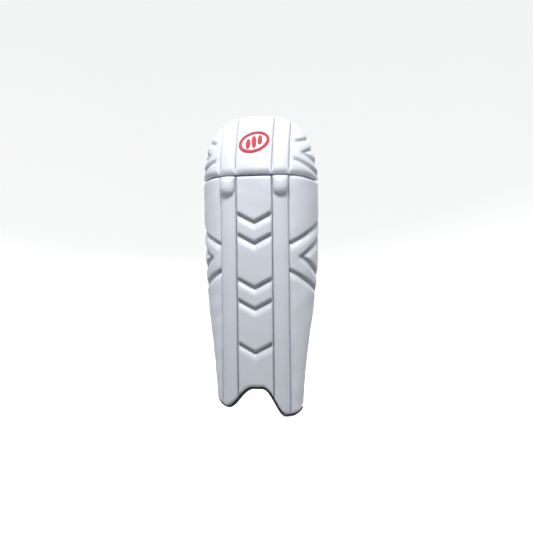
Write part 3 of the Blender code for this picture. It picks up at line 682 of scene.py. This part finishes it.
def wings():
    for name, side in SIDES.items():
        shares = spread(0.0, 1.0, 0.066, 0.8 * STEP / WING_REACH)
        levels = spread(0.0, 1.0, 0.016, 0.8 * STEP / 0.52)
        u, v = np.meshgrid(shares, levels, indexing="ij")
        a, z = wing_spot(side, u, v)
        reach = np.abs(a) - FRONT_HALF
        width = wing_width(side, z)
        fall = np.maximum(roll(reach, SEAM_ROLL, SEAM_FALL), roll(from_ends(a, z, lobe), EDGE, 0.0075))
        fall = np.maximum(fall, roll(width - reach, 0.014, 0.0095))
        crown = 0.0018 * np.sin(math.pi * np.clip(reach / width, 0, 1))
        fold = 0.0009 * np.exp(-(((reach - 0.0078) / 0.0016) ** 2))  # a slack fold that runs beside the seam
        pressed, shade = creases(a, z, WING_GROOVES, 0.0080, 0.0155)
        inside = smooth((width - reach - 0.001) / 0.008)
        depth = fall - crown + fold + 0.9 * CREASE * pressed * inside
        depth = depth + 0.0006 * unevenness(a, z, 21 + side, 0.06) + seam_pucker(z, reach, 31 + side)
        # painted shade on the walls above the creases and along the seam
        hollow = CREASE_PAINTED_SHADE * shade * inside + 0.35 * np.clip(fall / SEAM_FALL, 0, 1) ** 3
        made = slab(f"{name}_wing_panel", a, z, depth, COVER_BACK, shin_point, hollow)
        finish_piece(made, "white_cover", None, [f"{name}_wing_cover", f"{name}_wing_foam"], 0.7)
        hinge(made, side)


# ---- the knee flap ---------------------------------------------------------
FLAP_SEAM_ROLL, FLAP_SEAM_FALL = 0.0058, 0.0056
FLAP_TOP_FALL = 0.0085
FLAP_PANELS = {  # from, to, and the crown's height
    "flap_inner_wing": (-FLAP_EDGES[INNER], -FRONT_HALF - LAYER_GAP, 0.003),
    "flap_inner_strip": (-FRONT_HALF + LAYER_GAP, -CENTRE_HALF - LAYER_GAP, 0.002),
    "flap_centre": (-CENTRE_HALF + LAYER_GAP, CENTRE_HALF - LAYER_GAP, FLAP_CROWN),
    "flap_outer_strip": (CENTRE_HALF + LAYER_GAP, FRONT_HALF - LAYER_GAP, 0.002),
    "flap_outer_wing": (FRONT_HALF + LAYER_GAP, FLAP_EDGES[OUTER], 0.003),
}


def flap_depth(a, up, first, last, crown):
    """The depth of a flap panel's face, how far it falls at its seams, and how far a place is from them."""
    middle, half = (first + last) / 2, (last - first) / 2
    off = np.abs(a - middle)
    edge = half - off
    fall = np.maximum(roll(edge, FLAP_SEAM_ROLL, FLAP_SEAM_FALL), roll(up, 0.014, 0.0112))
    fall = np.maximum(fall, roll(np.minimum(up, flap_top(a) - up), EDGE, FLAP_TOP_FALL))
    pinch = np.exp(-((edge / 0.0042) ** 2)) * np.exp(-(((up - 0.004) / 0.009) ** 2))
    fall = fall * (1 - 0.7 * pinch)
    return fall - crown * (1 - (off / half) ** 2), fall, edge


def flap_panels():
    for number, (name, (first, last, crown)) in enumerate(FLAP_PANELS.items()):
        columns = spread(first, last, FLAP_SEAM_ROLL, STEP)
        a, up = grid(columns, np.zeros_like, flap_top, EDGE, STEP)
        depth, fall, edge = flap_depth(a, up, first, last, crown)
        # painted shade where the panel rolls under at its lip, seams and arch, and on the wings' crease walls
        hollow = 0.25 * np.clip(fall / FLAP_TOP_FALL, 0, 1) ** 3
        if "wing" in name:
            pressed, shade = creases(a, up, FLAP_GROOVES, 0.0062, 0.0125)
            depth = depth + 0.0048 * pressed * smooth((edge + 0.002) / 0.008)
            hollow = hollow + 0.25 * shade
        depth = depth + 0.0004 * unevenness(a, up, 41 + number, 0.05) + seam_pucker(up, edge, 51 + number)
        made = slab(name, a, up, depth, COVER_BACK, flap_point, hollow)
        finish_piece(made, "white_cover", "knee_flap", [f"{name}_cover", f"{name}_foam"], 0.8)


def ring_faces(count, ring, closed=False):
    """The faces of a tube made of rings, with flat ends unless it is closed."""
    faces = []
    for i in range(count if closed else count - 1):
        after = (i + 1) % count
        for k in range(ring):
            nxt = (k + 1) % ring
            faces.append((i * ring + k, i * ring + nxt, after * ring + nxt, after * ring + k))
    if not closed:
        faces.append(tuple(range(ring)))
        faces.append(tuple((count - 1) * ring + k for k in range(ring)))
    return faces


def on_badge(x, y, lift):
    """A place on the badge, from its middle and along its own tilted axes."""
    a = x * math.cos(BADGE_TILT) - y * math.sin(BADGE_TILT)
    up = BADGE_MIDDLE + x * math.sin(BADGE_TILT) + y * math.cos(BADGE_TILT)
    crown = FLAP_CROWN * (1 - (a / CENTRE_HALF) ** 2)
    return flap_point(a, up, -crown - 0.0003 - lift)


def satin(k):
    """The height of satin stitch across its width, where k is -1 to 1."""
    return 0.0011 * math.sqrt(max(1 - k**4, 0.0))


SATIN_SUNK = -0.0001  # the embroidery's underside


def badge_oval():
    width = 0.0076
    long, tall = BADGE_LONG / 2, BADGE_TALL / 2
    turns = np.linspace(0, 2 * math.pi, 121)[:-1]
    across = np.linspace(-1, 1, 9)
    rows = [(width * (0.5 - 0.5 * k), satin(k)) for k in across] + [(width / 2, SATIN_SUNK)]
    vertices = []
    for t in turns:
        for off, lift in rows:
            vertices.append(on_badge((long - off) * math.cos(t), (tall - off) * math.sin(t), lift))
    made = mesh_object("badge_oval", np.array(vertices), ring_faces(len(turns), len(rows), closed=True))
    finish_piece(made, "badge_red", "knee_flap", ["flap_badge"])


def badge_leaf(name, centre, length):
    steps, rows, slant = 17, 7, 0.0032
    vertices = []
    for s in -np.cos(np.linspace(0, math.pi, steps)):
        half = 0.0056 * math.sqrt(max(1 - s * s, 0.0)) + 0.0002
        x, y = centre + slant * s, s * length / 2
        for k in np.linspace(-1, 1, rows):
            vertices.append(on_badge(x + k * half, y, satin(k) * math.sqrt(max(1 - s**4, 0.0))))
        vertices.append(on_badge(x, y, SATIN_SUNK))
    made = mesh_object(name, np.array(vertices), ring_faces(steps, rows + 1))
    finish_piece(made, "badge_red", "knee_flap")


def badge():
    """A tilted embroidered oval with three leaves in it, each raised like satin stitch."""
    badge_oval()
    for number, (centre, length) in enumerate(((-0.0136, 0.0225), (0.0, 0.0285), (0.0136, 0.0225)), 1):
        badge_leaf(f"badge_leaf_{number}", centre, length)


# ---- sweeps: bindings, piping, stitches, straps ----------------------------
def sweep(name, points, normals, outline, closed=False):
    """A cross-section swept along a path; normals point along the outline's first axis."""
    points, normals = np.asarray(points), np.asarray(normals)
    before = np.roll(points, 1, axis=0)
    after = np.roll(points, -1, axis=0)
    if not closed:
        before[0], after[-1] = points[0], points[-1]
    ahead = after - before
    ahead /= np.linalg.norm(ahead, axis=1)[:, None]
    normals = normals - (normals * ahead).sum(1)[:, None] * ahead
    normals /= np.linalg.norm(normals, axis=1)[:, None]
    across = np.cross(ahead, normals)
    rings = [points + normals * p + across * q for p, q in outline]
    vertices = np.stack(rings, axis=1).reshape(-1, 3)
    return mesh_object(name, vertices, ring_faces(len(points), len(outline), closed))


def round_outline(p, q, sides=14, power=2.0):
    """An oval of half-sizes p and q; a higher power makes it squarer."""
    outline = []
    for i in range(sides):
        turn = 2 * math.pi * i / sides
        c, s = (math.copysign(abs(way) ** (2 / power), way) for way in (math.cos(turn), math.sin(turn)))
        outline.append((p * c, q * s))
    return outline


def mitred(edge, off):
    """Places beside an edge on its right as it runs, as (along, z) pairs."""
    spots = np.asarray(edge, float)
    ahead = np.diff(spots, axis=0)
    ahead /= np.linalg.norm(ahead, axis=1)[:, None]
    first = np.vstack([ahead[:1], ahead])
    second = np.vstack([ahead, ahead[-1:]])
    total = first + second
    bend = 1 + (first * second).sum(1)
    normal = np.stack([total[:, 1], -total[:, 0]], axis=1) / bend[:, None]
    return spots + normal * off


def resample(path, step):
    """A path with points evenly spaced along it."""
    path = np.asarray(path, float)
    length = np.concatenate([[0], np.cumsum(np.linalg.norm(np.diff(path, axis=0), axis=1))])
    count = max(int(round(length[-1] / step)), 2)
    at = np.linspace(0, length[-1], count + 1)
    return np.stack([np.interp(at, length, path[:, k]) for k in range(path.shape[1])], axis=1)


def edging(name, edge, off, point, tape, finish, body, node, step=0.003):
    """A tape or piping beside an edge; tape is its depth and its cross-section."""
    depth, outline = tape
    a, z = mitred(resample(edge, step), off).T
    points = point(a, z, depth)
    made = sweep(name, points, point(a, z, depth - 0.001) - points, outline)
    finish_piece(made, finish, body, [node])


STITCH_R, STITCH_SIDES = 0.00042, 5
# a stitch's stations: its share of the pitch, its share of the thread's thickness, and how far it is lifted
STITCH = ((0.14, 0.25, -0.0002), (0.26, 1.0, 0.0002), (0.74, 1.0, 0.0002), (0.86, 0.25, -0.0002))


def stitches(name, edge, point, depth, body, pitch=0.0042, off=0.0):
    """A row of short raised stitches beside an edge, all in one piece, on the side where depth grows."""
    a, z = mitred(resample(edge, pitch), off).T
    points = point(a, z, depth)
    outwards = point(a, z, depth + 0.001) - points
    outwards /= np.linalg.norm(outwards, axis=1)[:, None]
    one = ring_faces(len(STITCH), STITCH_SIDES)
    vertices, faces = [], []
    for start, end, out in zip(points, points[1:], outwards):
        run = end - start
        across = np.cross(run, out)
        across /= np.linalg.norm(across)
        faces += [tuple(len(vertices) + k for k in face) for face in one]
        for share, thick, lift in STITCH:
            centre = start + run * share + out * lift
            for k in range(STITCH_SIDES):
                angle = 2 * math.pi * k / STITCH_SIDES
                spoke = math.cos(angle) * across + math.sin(angle) * out
                vertices.append(centre + STITCH_R * thick * spoke)
    finish_piece(mesh_object(name, np.array(vertices), faces), "thread", body)


def bindings():
    """The black tape round the hem, and the white piping on the wings' edges and round the flap's arch."""
    off = BINDING_R + LAYER_GAP
    tape = BACK - 0.0047, round_outline(0.0047, 0.0031, 18, 2.8)
    piping = BACK - BINDING_R, round_outline(BINDING_R, BINDING_R, 12)
    columns = np.linspace(-FRONT_HALF + LAYER_GAP, FRONT_HALF - LAYER_GAP, 121)
    hem = np.stack([columns, shin_bottom(columns)], 1)
    edging("shin_hem_tape", hem, off, shin_point, tape, "binding_black", "shin", "shin_hem_binding")
    for name, side in SIDES.items():
        corner_a, corner_z = (float(value) for value in wing_spot(side, 1.0, 0.0))
        columns = np.linspace(side * (FRONT_HALF + 0.0008), corner_a, 30)
        hem = np.stack([columns, lobe(columns)], 1)
        edging(f"{name}_wing_hem_tape", hem, side * off, shin_point, tape, "binding_black", f"{name}_wing",
               f"{name}_wing_hem_binding", 0.0025)
        z = np.linspace(corner_z + 0.0015, KNEE_SEAM - SEAM_DROP - 0.001, 120)
        edge = np.stack([side * (FRONT_HALF + wing_width(side, z)), z], 1)
        edging(f"{name}_wing_edge_piping", edge, side * (off + 0.0006), shin_point, piping, "piping_white",
               f"{name}_wing", f"{name}_wing_piping")

    first, last = -FLAP_EDGES[INNER], FLAP_EDGES[OUTER]
    columns = [first, *np.linspace(first + 0.0005, last - 0.0005, 160), last]
    arch = [(first, 0.003), *zip(columns, flap_top(columns)), (last, 0.003)]
    edging("flap_arch_piping", arch, -(BINDING_R + 2.5 * LAYER_GAP), flap_point, piping, "piping_white",
           "knee_flap", "flap_piping")


# ---- the linings and the seam tapes ----------------------------------------
def lining_sheet(name, a, z, point, body, nodes, seed, apart):
    """A thin lining, drawn in along its seams; apart is how far each place is from the nearest one."""
    drawn = 0.0011 * np.exp(-((apart / 0.0040) ** 1.3))
    fine = LINING_FACE - drawn + 0.0002 * unevenness(a, z, seed, 0.03)
    made = slab(name, a, z, fine, BACK, point, every=3)
    return finish_piece(made, "lining", body, nodes)


def linings():
    step, edge = 0.0034, 0.004
    columns = spread(-FRONT_HALF + 2 * LAYER_GAP, FRONT_HALF - 2 * LAYER_GAP, edge, 0.006)
    a, z = grid(columns, shin_bottom, shin_top, edge, 0.008)
    far_off = np.ones_like(a)  # no seams cross the shin's lining
    lining_sheet("shin_lining_sheet", a, z, shin_point, "shin", ["shin_lining"], 61, far_off)
    for name, side in SIDES.items():
        shares, levels = spread(0.0, 1.0, 0.05, step / WING_REACH), spread(0.0, 1.0, 0.01, 0.012)
        u, v = np.meshgrid(shares, levels, indexing="ij")
        a, z = wing_spot(side, u, v)
        width = wing_width(side, z)
        inset = FRONT_HALF + width - np.abs(a)
        apart = np.minimum(np.abs(inset - HEM_INSET), np.abs(u - QUILT) * width)
        nodes = [f"{name}_wing_lining"]
        made = lining_sheet(f"{name}_wing_lining_sheet", a, z, shin_point, None, nodes, 63 + side, apart)
        hinge(made, side)
        level = np.linspace(0.06, 0.505, 90)
        width = wing_width(side, level)
        for row, reach in (("edge", width - HEM_INSET), ("quilt", QUILT * width)):
            run = np.stack([side * (FRONT_HALF + reach), level], 1)
            stitches(f"{name}_wing_{row}_stitches", run, shin_point, SEAM_DEPTH, f"{name}_wing")

    from_top = 0.009  # how far the stitch row is under the arch
    columns = spread(-FLAP_EDGES[INNER], FLAP_EDGES[OUTER], edge, step)
    a, up = grid(columns, lambda c: np.full_like(c, 0.001), lambda c: flap_top(c) - 0.0005, edge, 0.006)
    seams = (-FRONT_HALF, -CENTRE_HALF, CENTRE_HALF, FRONT_HALF)
    apart = np.min([np.abs(a - seam) for seam in seams], axis=0)
    apart = np.minimum(apart, np.abs(flap_top(a) - up - from_top))
    lining_sheet("flap_lining_sheet", a, up, flap_point, "knee_flap", ["flap_lining"], 67, apart)
    for number, seam in enumerate(seams, 1):
        run = [(seam, 0.016), (seam, float(flap_top(seam)) - 0.011)]
        stitches(f"flap_seam_stitches_{number}", run, flap_point, SEAM_DEPTH, "knee_flap")
    columns = np.linspace(-0.93 * FLAP_EDGES[INNER], 0.93 * FLAP_EDGES[OUTER], 120)
    arch = np.stack([columns, flap_top(columns) - from_top], 1)
    stitches("flap_arch_stitches", arch, flap_point, SEAM_DEPTH, "knee_flap")


def gussets():
    """Seam tapes on the lining side, which bridge the gaps where the wings and the knee flap meet the shin.
    """
    for name, side in SIDES.items():
        columns = side * np.linspace(FRONT_HALF - 0.0036, FRONT_HALF + 0.0064, 11)
        a, z = grid(columns, lambda c: lobe(c) + 0.001, shin_top, 0.004, 0.012)
        deep = LINING_FACE + 0.00005
        made = slab(f"{name}_seam_tape", a, z, deep + 0.00032, deep, shin_point, every=1)
        finish_piece(made, "lining", None)
        hinge(made, side)

    thick = 0.0006
    a, v = np.meshgrid(np.linspace(-FRONT_HALF, FRONT_HALF, 60), np.linspace(0.0, 1.0, 15), indexing="ij")
    low = shin_point(a, shin_top(a) - 0.0075, LINING_FACE + 0.0001)
    high = flap_point(a, 0.010, LINING_FACE + 0.0001)
    path = mix(low, high, v[..., None])
    path[..., 1] += 0.0006 * np.sin(math.pi * v)

    def tape(_a, _v, deep):
        """A place on the knee's tape, where deep is 0 or 1."""
        return path + deep[..., None] * np.array((0.0, thick, 0.0))

    made = slab("knee_seam_tape", a, v, 1.0, 0.0, tape, every=1)
    finish_piece(made, "lining", None)
    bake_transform(made)


# ---- cushions behind the shin ----------------------------------------------
PUFF_FRAMES = 20


def puff(made, pressure, cap, voxel):
    """Remesh a cushion and let it swell like stuffed cloth, then keep the swollen shape."""
    scene = bpy.context.scene
    bpy.context.view_layer.objects.active = made
    for other in bpy.context.selected_objects:
        other.select_set(False)
    made.select_set(True)
    remesh = made.modifiers.new("remesh", "REMESH")
    remesh.mode = "VOXEL"
    remesh.voxel_size = voxel
    remesh.use_smooth_shade = True
    bpy.ops.object.modifier_apply(modifier=remesh.name)
    rest = np.array([v.co for v in made.data.vertices])
    cloth = made.modifiers.new("cloth", "CLOTH")
    settings = cloth.settings
    settings.use_pressure = True
    settings.uniform_pressure_force = pressure
    settings.effector_weights.gravity = 0.0
    settings.quality = 5
    settings.mass = 0.3
    settings.tension_stiffness = 15
    settings.compression_stiffness = 15
    settings.shear_stiffness = 5
    settings.bending_stiffness = 0.5
    cloth.point_cache.frame_start = 1
    cloth.point_cache.frame_end = PUFF_FRAMES
    scene.frame_start, scene.frame_end = 1, PUFF_FRAMES
    for number in range(1, PUFF_FRAMES + 1):
        scene.frame_set(number)
    depsgraph = bpy.context.evaluated_depsgraph_get()
    swollen = made.evaluated_get(depsgraph).to_mesh()
    now = np.array([v.co for v in swollen.vertices])
    made.evaluated_get(depsgraph).to_mesh_clear()
    made.modifiers.remove(cloth)
    scene.frame_set(1)
    move = now - rest
    size = np.linalg.norm(move, axis=1)
    limited = rest + move * (np.minimum(size, cap) / np.maximum(size, 1e-9))[:, None]
    made.data.vertices.foreach_set("co", limited.astype(np.float32).reshape(-1))
    made.data.update()
    subdivide = made.modifiers.new("subdivide", "SUBSURF")
    subdivide.levels = subdivide.render_levels = 1
    bpy.ops.object.modifier_apply(modifier=subdivide.name)


def cushion(name, across, upwards, thick, node, seed, fill, count=(40, 110), stuffed=True):
    """A cushion that lies on the shin's lining; thick gives its height from u and v."""
    u, v = dome_grid(*count)
    a = mix(*across, (u + 1) / 2)
    z = mix(*upwards, v)
    height = thick(u, v) + 0.0003 * unevenness(a, z, seed, 0.03)
    fine = CUSHION_FRONT + np.maximum(height, 0.0012)
    made = slab(name, a, z, fine, CUSHION_FRONT, shin_point, every=3)
    if stuffed:
        puff(made, pressure=3.0, cap=0.0020, voxel=0.004)
    made.data.shade_smooth()
    finish_piece(made, "lining", "shin", [node], fill)


def cushions():
    def crown(u, v, high, power, ends):
        """A rounded pillow's height; higher powers make it flatter across, or towards its ends."""
        side = np.maximum(1 - np.abs(u) ** power, 0) ** 0.5
        return 0.0012 + high * side * np.maximum(1 - (2 * v - 1) ** ends, 0) ** 0.5

    def ribs(v, count, deep, wide):
        """Stitched channels across a cushion."""
        return deep * np.exp(-((((v * count) % 1.0) - 0.5) / wide) ** 2)

    def centre(u, v):
        return crown(u, v, 0.0098, 6, 30) - ribs(v, 5.0, 0.0016, 0.045)

    def bolster(u, v):
        return crown(u, v, 0.0225, 2, 14) - ribs(v, 6.0, 0.0022, 0.035)

    def cup(u, v):
        """A cushion with a hollow in its middle, where the knee rests."""
        rim = np.sqrt(np.maximum(1 - u**4, 0)) * np.sqrt(np.maximum(1 - (2 * v - 1) ** 4, 0))
        hollow = 0.008 * np.maximum(1 - (u / 0.6) ** 2, 0.0)
        return 0.0015 + 0.0245 * rim - hollow * np.minimum(rim * 2, 1)

    middle = (-0.026, 0.026), (0.095, 0.440)
    cushion("centre_cushion", *middle, centre, "centre_shin_cushion", 71, 0.6, stuffed=False)
    for name, side in SIDES.items():
        beside = (side * 0.031, side * 0.073), (0.092, 0.445)
        cushion(f"{name}_bolster", *beside, bolster, f"{name}_shin_bolster", 73 + side, 0.8)
    knee = (-0.070, 0.070), (0.452, 0.514)
    cushion("knee_cushion", *knee, cup, "knee_locator_cushion", 77, 0.7, (90, 50))


def instep():
    """The webbing that reinforces the notch over the foot, and the stitches along its top."""
    half = 0.060

    def top(a):
        return 0.088 - 0.022 * (a / half) ** 2

    a, v = np.meshgrid(np.linspace(-half, half, 61), np.linspace(0, 1, 26), indexing="ij")
    z = mix(shin_bottom(a) + 0.002, top(a), v)
    fine = CUSHION_FRONT + 0.0023 + 0.0002 * unevenness(a, z, 81, 0.02)
    made = slab("instep_reinforcement", a, z, fine, CUSHION_FRONT, shin_point)
    finish_piece(made, "webbing", "shin", ["instep_guard"])
    columns = np.linspace(-0.057, 0.057, 50)
    row = np.stack([columns, top(columns)], 1)
    stitches("instep_stitches", row, shin_point, CUSHION_FRONT + 0.0027, "shin", off=0.003)


# ---- straps ----------------------------------------------------------------
TAB_DEPTH = CUSHION_FRONT + STRAP_THICK / 2
LOOP = RING_WIRE_R + 0.0004 + STRAP_THICK / 2
LAYER = STRAP_THICK + LAYER_GAP
BAND_DEPTH = LINING_FACE + PATCH_GAP + 2 * LAYER_GAP + 2 * HOOK + STRAP_THICK / 2 + 0.0006
HOOK_DEPTH = BAND_DEPTH - STRAP_THICK / 2 - LAYER_GAP - HOOK / 2
PATCH_DEPTH = LINING_FACE + PATCH_GAP + HOOK / 2
RING_CORNER = 0.0035
# half of webbing's cross-section: shares of its half width, and of its half thickness there
SELVEDGE = (
    (-1.0, 0.35), (-0.985, 0.8), (-0.95, 1.0), (-0.5, 0.94), (0.0, 0.94),
    (0.5, 0.94), (0.95, 1.0), (0.985, 0.8), (1.0, 0.35),
)


def plan(along, depth):
    """A place in the straps' plan, which is the pad's own at the height of the knee seam."""
    at = shin_point(along, KNEE_SEAM, depth) + ORIGIN
    return Vector((at[0], at[1]))


def leaned(x, y, level):
    """A place of the straps' plan at a height, moved as the shin leans."""
    x, y, level = np.broadcast_arrays(x, y, level)
    return np.stack([x, y + SHIN_LEAN * (KNEE_SEAM - level), level], axis=-1) - ORIGIN


def bezier(a, b, c, d, count):
    """Points on a smooth curve, without its last one."""
    points = []
    for i in range(count):
        t = i / count
        points.append(a * (1 - t) ** 3 + b * 3 * t * (1 - t) ** 2 + c * 3 * t * t * (1 - t) + d * t**3)
    return points


def turn_round(bar, radius, first, last, count):
    """Points round a bar, between two angles in degrees."""
    angles = [math.radians(mix(first, last, i / count)) for i in range(count + 1)]
    return [bar + radius * Vector((math.cos(a), math.sin(a))) for a in angles]


def ring_bars(z):
    """The middles of a ring's near and far bars in plan, and the pad's heading there in degrees."""
    edge = -(FRONT_HALF + wing_width(INNER, z))
    heading = float(section(edge)[2])
    back = Vector((-math.cos(heading), math.sin(heading)))
    inwards = Vector((math.sin(heading), math.cos(heading)))
    near = plan(edge, TAB_DEPTH) + back * TAB_REACH + inwards * LOOP
    return near, near + Vector((0.0, RING_LENGTH)), math.degrees(heading)


def strip(name, path, z, width, thick, finish, body, node, step=0.003):
    """Flat webbing that follows a path in plan, with rounded selvedges."""
    path = resample([tuple(p) for p in path], step)
    ahead = np.gradient(path, axis=0)
    ahead /= np.linalg.norm(ahead, axis=1)[:, None]
    half = np.array([(swell * thick / 2, lift * width / 2) for lift, swell in SELVEDGE])
    out, up = np.vstack([half, half[::-1] * (-1, 1)]).T
    vertices = leaned(path[:, :1] + ahead[:, 1:] * out, path[:, 1:] - ahead[:, :1] * out, z + up)
    made = mesh_object(name, vertices.reshape(-1, 3), ring_faces(len(path), len(out)))
    finish_piece(made, finish, body, [node])


def sewn_box(name, first, last, z, half, point, depth, body):
    """A box of stitches that sews a patch or a strap's end down."""
    corners = [(first, z - half), (last, z - half), (last, z + half), (first, z + half), (first, z - half)]
    stitches(name, corners, point, depth, body, pitch=0.0036)


def strap_tab(name, z, width, near, heading):
    """The tab that holds the ring, folded round its near bar and sewn to the inner wing."""
    edge = -(FRONT_HALF + wing_width(INNER, z))
    first = min(edge + 0.034, -FRONT_HALF - 0.002)
    out = [plan(mix(first, edge + 0.004, i / 3), TAB_DEPTH) for i in range(4)]
    wrap = turn_round(near, LOOP, 270 - heading, 80 - heading, 14)
    back = [plan(mix(edge + 0.008, first, i / 2), TAB_DEPTH + LAYER) for i in range(2)]
    strip(f"{name}_tab", [*out, *wrap, *back], z, width - 0.006, STRAP_THICK * 0.8, "webbing", "inner_wing",
          f"{name}_strap_tab", 0.0016)
    sewn_box(f"{name}_tab_stitches", edge + 0.0095, first - 0.002, z, width / 2 - 0.006, shin_point,
             TAB_DEPTH + LAYER + STRAP_THICK * 0.4, "inner_wing")


def strap_ring(name, z, width, near, far):
    """A rectangle of wire with rounded corners."""
    half = width / 2 + 0.003 + RING_WIRE_R - RING_CORNER
    points = []
    for bar, sign, begin in ((near, 1, 180), (far, 1, 90), (far, -1, 0), (near, -1, 270)):
        inwards = RING_CORNER if bar is near else -RING_CORNER
        for k in range(5):
            angle = math.radians(begin - 90 * k / 4)
            y = bar.y + inwards + RING_CORNER * math.cos(angle)
            points.append((bar.x, y, z + sign * half + RING_CORNER * math.sin(angle)))
    points = leaned(*np.array(points).T)
    normals = np.tile((1.0, 0.0, 0.0), (len(points), 1))
    outline = round_outline(RING_WIRE_R, RING_WIRE_R, 12, 2.4)
    made = sweep(f"{name}_ring_wire", points, normals, outline, closed=True)
    finish_piece(made, "ring_plastic", f"{name}_ring", [f"{name}_strap_ring"])


def strap_band(name, z, width, far, first, last):
    """The webbing: sewn round the ring's far bar, then behind the leg to the outer wing."""
    landing = plan(first, BAND_DEPTH)
    turned = float(section(FRONT_HALF + wing_width(OUTER, z))[2]) + math.radians(9)
    leaving = Vector((math.cos(turned), math.sin(turned)))
    outer, inner = (far + Vector((x, 0.0)) for x in (LAYER / 2, -LAYER / 2))
    path = [outer + Vector((0.0, 0.036)), outer + Vector((0.0, 0.015)), *turn_round(far, LOOP, 10, -190, 16)]
    path += [inner + Vector((0.0, 0.015)), inner + Vector((0.0, 0.030))]
    start = inner + Vector((0.0, 0.040))
    middle = Vector((0.004, max(landing.y, far.y) + 0.072))
    aside = Vector((0.058, 0.0))
    path += bezier(start, start + Vector((0.0, 0.030)), middle - aside, middle, 30)
    path += bezier(middle, middle + aside, landing + leaving * 0.045, landing, 30)
    path += [plan(mix(first, last, i / 6), BAND_DEPTH) for i in range(7)]
    strip(f"{name}_strap_band", path, z, width, STRAP_THICK, "webbing", f"{name}_strap",
          f"{name}_strap_webbing", 0.0025)

    def on_strap(y, level, depth):
        """A place on the sewn end's outer face."""
        return leaned(outer.x + depth, y, level)

    sewn_box(f"{name}_strap_stitches", far.y + 0.0165, far.y + 0.0335, z, width / 2 - 0.003, on_strap,
             STRAP_THICK / 2, f"{name}_strap")


def strap_set(name, z, width):
    """A strap with its tab, its ring, its hook tape, and the loop patch on the outer wing."""
    near, far, heading = ring_bars(z)
    reach = wing_width(OUTER, z)
    first = FRONT_HALF + reach - 0.011
    last = FRONT_HALF + reach - min(0.038, reach - 0.012)
    strap_tab(name, z, width, near, heading)
    strap_ring(name, z, width, near, far)
    strap_band(name, z, width, far, first, last)

    hook = [plan(mix(first, last, mix(0.08, 1.0, i / 6)), HOOK_DEPTH) for i in range(7)]
    strip(f"{name}_hook_tape", hook, z, width - 0.004, HOOK, "hook_loop", f"{name}_strap",
          f"{name}_strap_hook")
    patch = [plan(mix(first, last, mix(-0.02, 1.12, i / 6)), PATCH_DEPTH) for i in range(7)]
    strip(f"{name}_loop_tape", patch, z, width + 0.004, HOOK, "hook_loop", "outer_wing",
          f"{name}_strap_patch")
    sewn_box(f"{name}_patch_stitches", mix(first, last, 0.02), mix(first, last, 1.08), z, width / 2 - 0.0005,
             shin_point, PATCH_DEPTH + HOOK / 2, "outer_wing")


# ---- the camera, the backdrop and the lights -------------------------------
def aim(made, target):
    made.rotation_euler = (Vector(target) - made.location).to_track_quat("-Z", "Y").to_euler()


def light(name, place, target, size, power, colour):
    data = bpy.data.lights.new(name, "AREA")
    data.shape = "RECTANGLE"
    data.size, data.size_y = size
    data.energy = power
    data.color = colour
    made = bpy.data.objects.new(name, data)
    made.location = place
    bpy.context.scene.collection.objects.link(made)
    aim(made, target)


def place_camera(scene):
    right = Vector((math.cos(CAMERA_TURN), math.sin(CAMERA_TURN), 0.0))
    ahead = Vector((-math.sin(CAMERA_TURN), math.cos(CAMERA_TURN), 0.0))
    target = Vector((-ORIGIN[0], -ORIGIN[1], CAMERA_HEIGHT)) + right * CAMERA_ASIDE
    data = bpy.data.cameras.new("camera")
    data.sensor_width = SENSOR
    data.lens = SENSOR * CAMERA_DISTANCE / VIEW_WIDTH
    camera = bpy.data.objects.new("camera", data)
    camera.location = target - ahead * CAMERA_DISTANCE
    scene.collection.objects.link(camera)
    aim(camera, target)
    camera.rotation_euler.rotate_axis("Z", CAMERA_ROLL)
    scene.camera = camera


def place_backdrop(scene):
    """A round floor that curves up into a wall all round, with a faint glow of its own."""
    profile = [(0.05, 0.0), (1.4, 0.0), (FLOOR_REACH, 0.0)]
    for t in np.linspace(0.1, math.pi / 2, 16):
        profile.append((FLOOR_REACH + FLOOR_BEND * math.sin(t), FLOOR_BEND - FLOOR_BEND * math.cos(t)))
    profile.append((FLOOR_REACH + FLOOR_BEND, WALL_TOP))
    bm = bmesh.new()
    rows = []
    for t in np.linspace(0, 2 * math.pi, 97)[:-1]:
        rows.append([bm.verts.new((r * math.cos(t), r * math.sin(t), z - FLOOR_BELOW)) for r, z in profile])
    bm.faces.new([row[0] for row in rows])
    for one, two in zip(rows, rows[1:] + rows[:1]):
        for i in range(len(profile) - 1):
            bm.faces.new((one[i], one[i + 1], two[i + 1], two[i]))
    mesh = bpy.data.meshes.new("backdrop")
    bm.to_mesh(mesh)
    bm.free()
    mesh.shade_smooth()
    paper, _, shader, _ = surface("backdrop_paper", (0.90, 0.90, 0.90), 0.9)
    shader.inputs["Emission Color"].default_value = (1.0, 1.0, 1.0, 1.0)
    shader.inputs["Emission Strength"].default_value = BACKDROP_GLOW
    mesh.materials.append(paper)
    backdrop = bpy.data.objects.new("backdrop", mesh)
    backdrop.visible_diffuse = False
    scene.collection.objects.link(backdrop)


def studio():
    scene = bpy.context.scene
    scene.view_settings.view_transform = "Standard"
    place_camera(scene)
    place_backdrop(scene)
    world = bpy.data.worlds.new("studio")
    world.use_nodes = True
    background = world.node_tree.nodes["Background"]
    background.inputs["Color"].default_value = (0.96, 0.98, 1.0, 1.0)
    background.inputs["Strength"].default_value = WORLD_GLOW
    scene.world = world
    for name, values in LIGHTS.items():
        light(name, *values)


studio()
centre_panel()
cane_panels()
knuckles()
wings()
flap_panels()
badge()
bindings()
linings()
gussets()
cushions()
instep()
for strap_name, (strap_z, strap_width) in STRAPS.items():
    strap_set(strap_name, strap_z, strap_width)
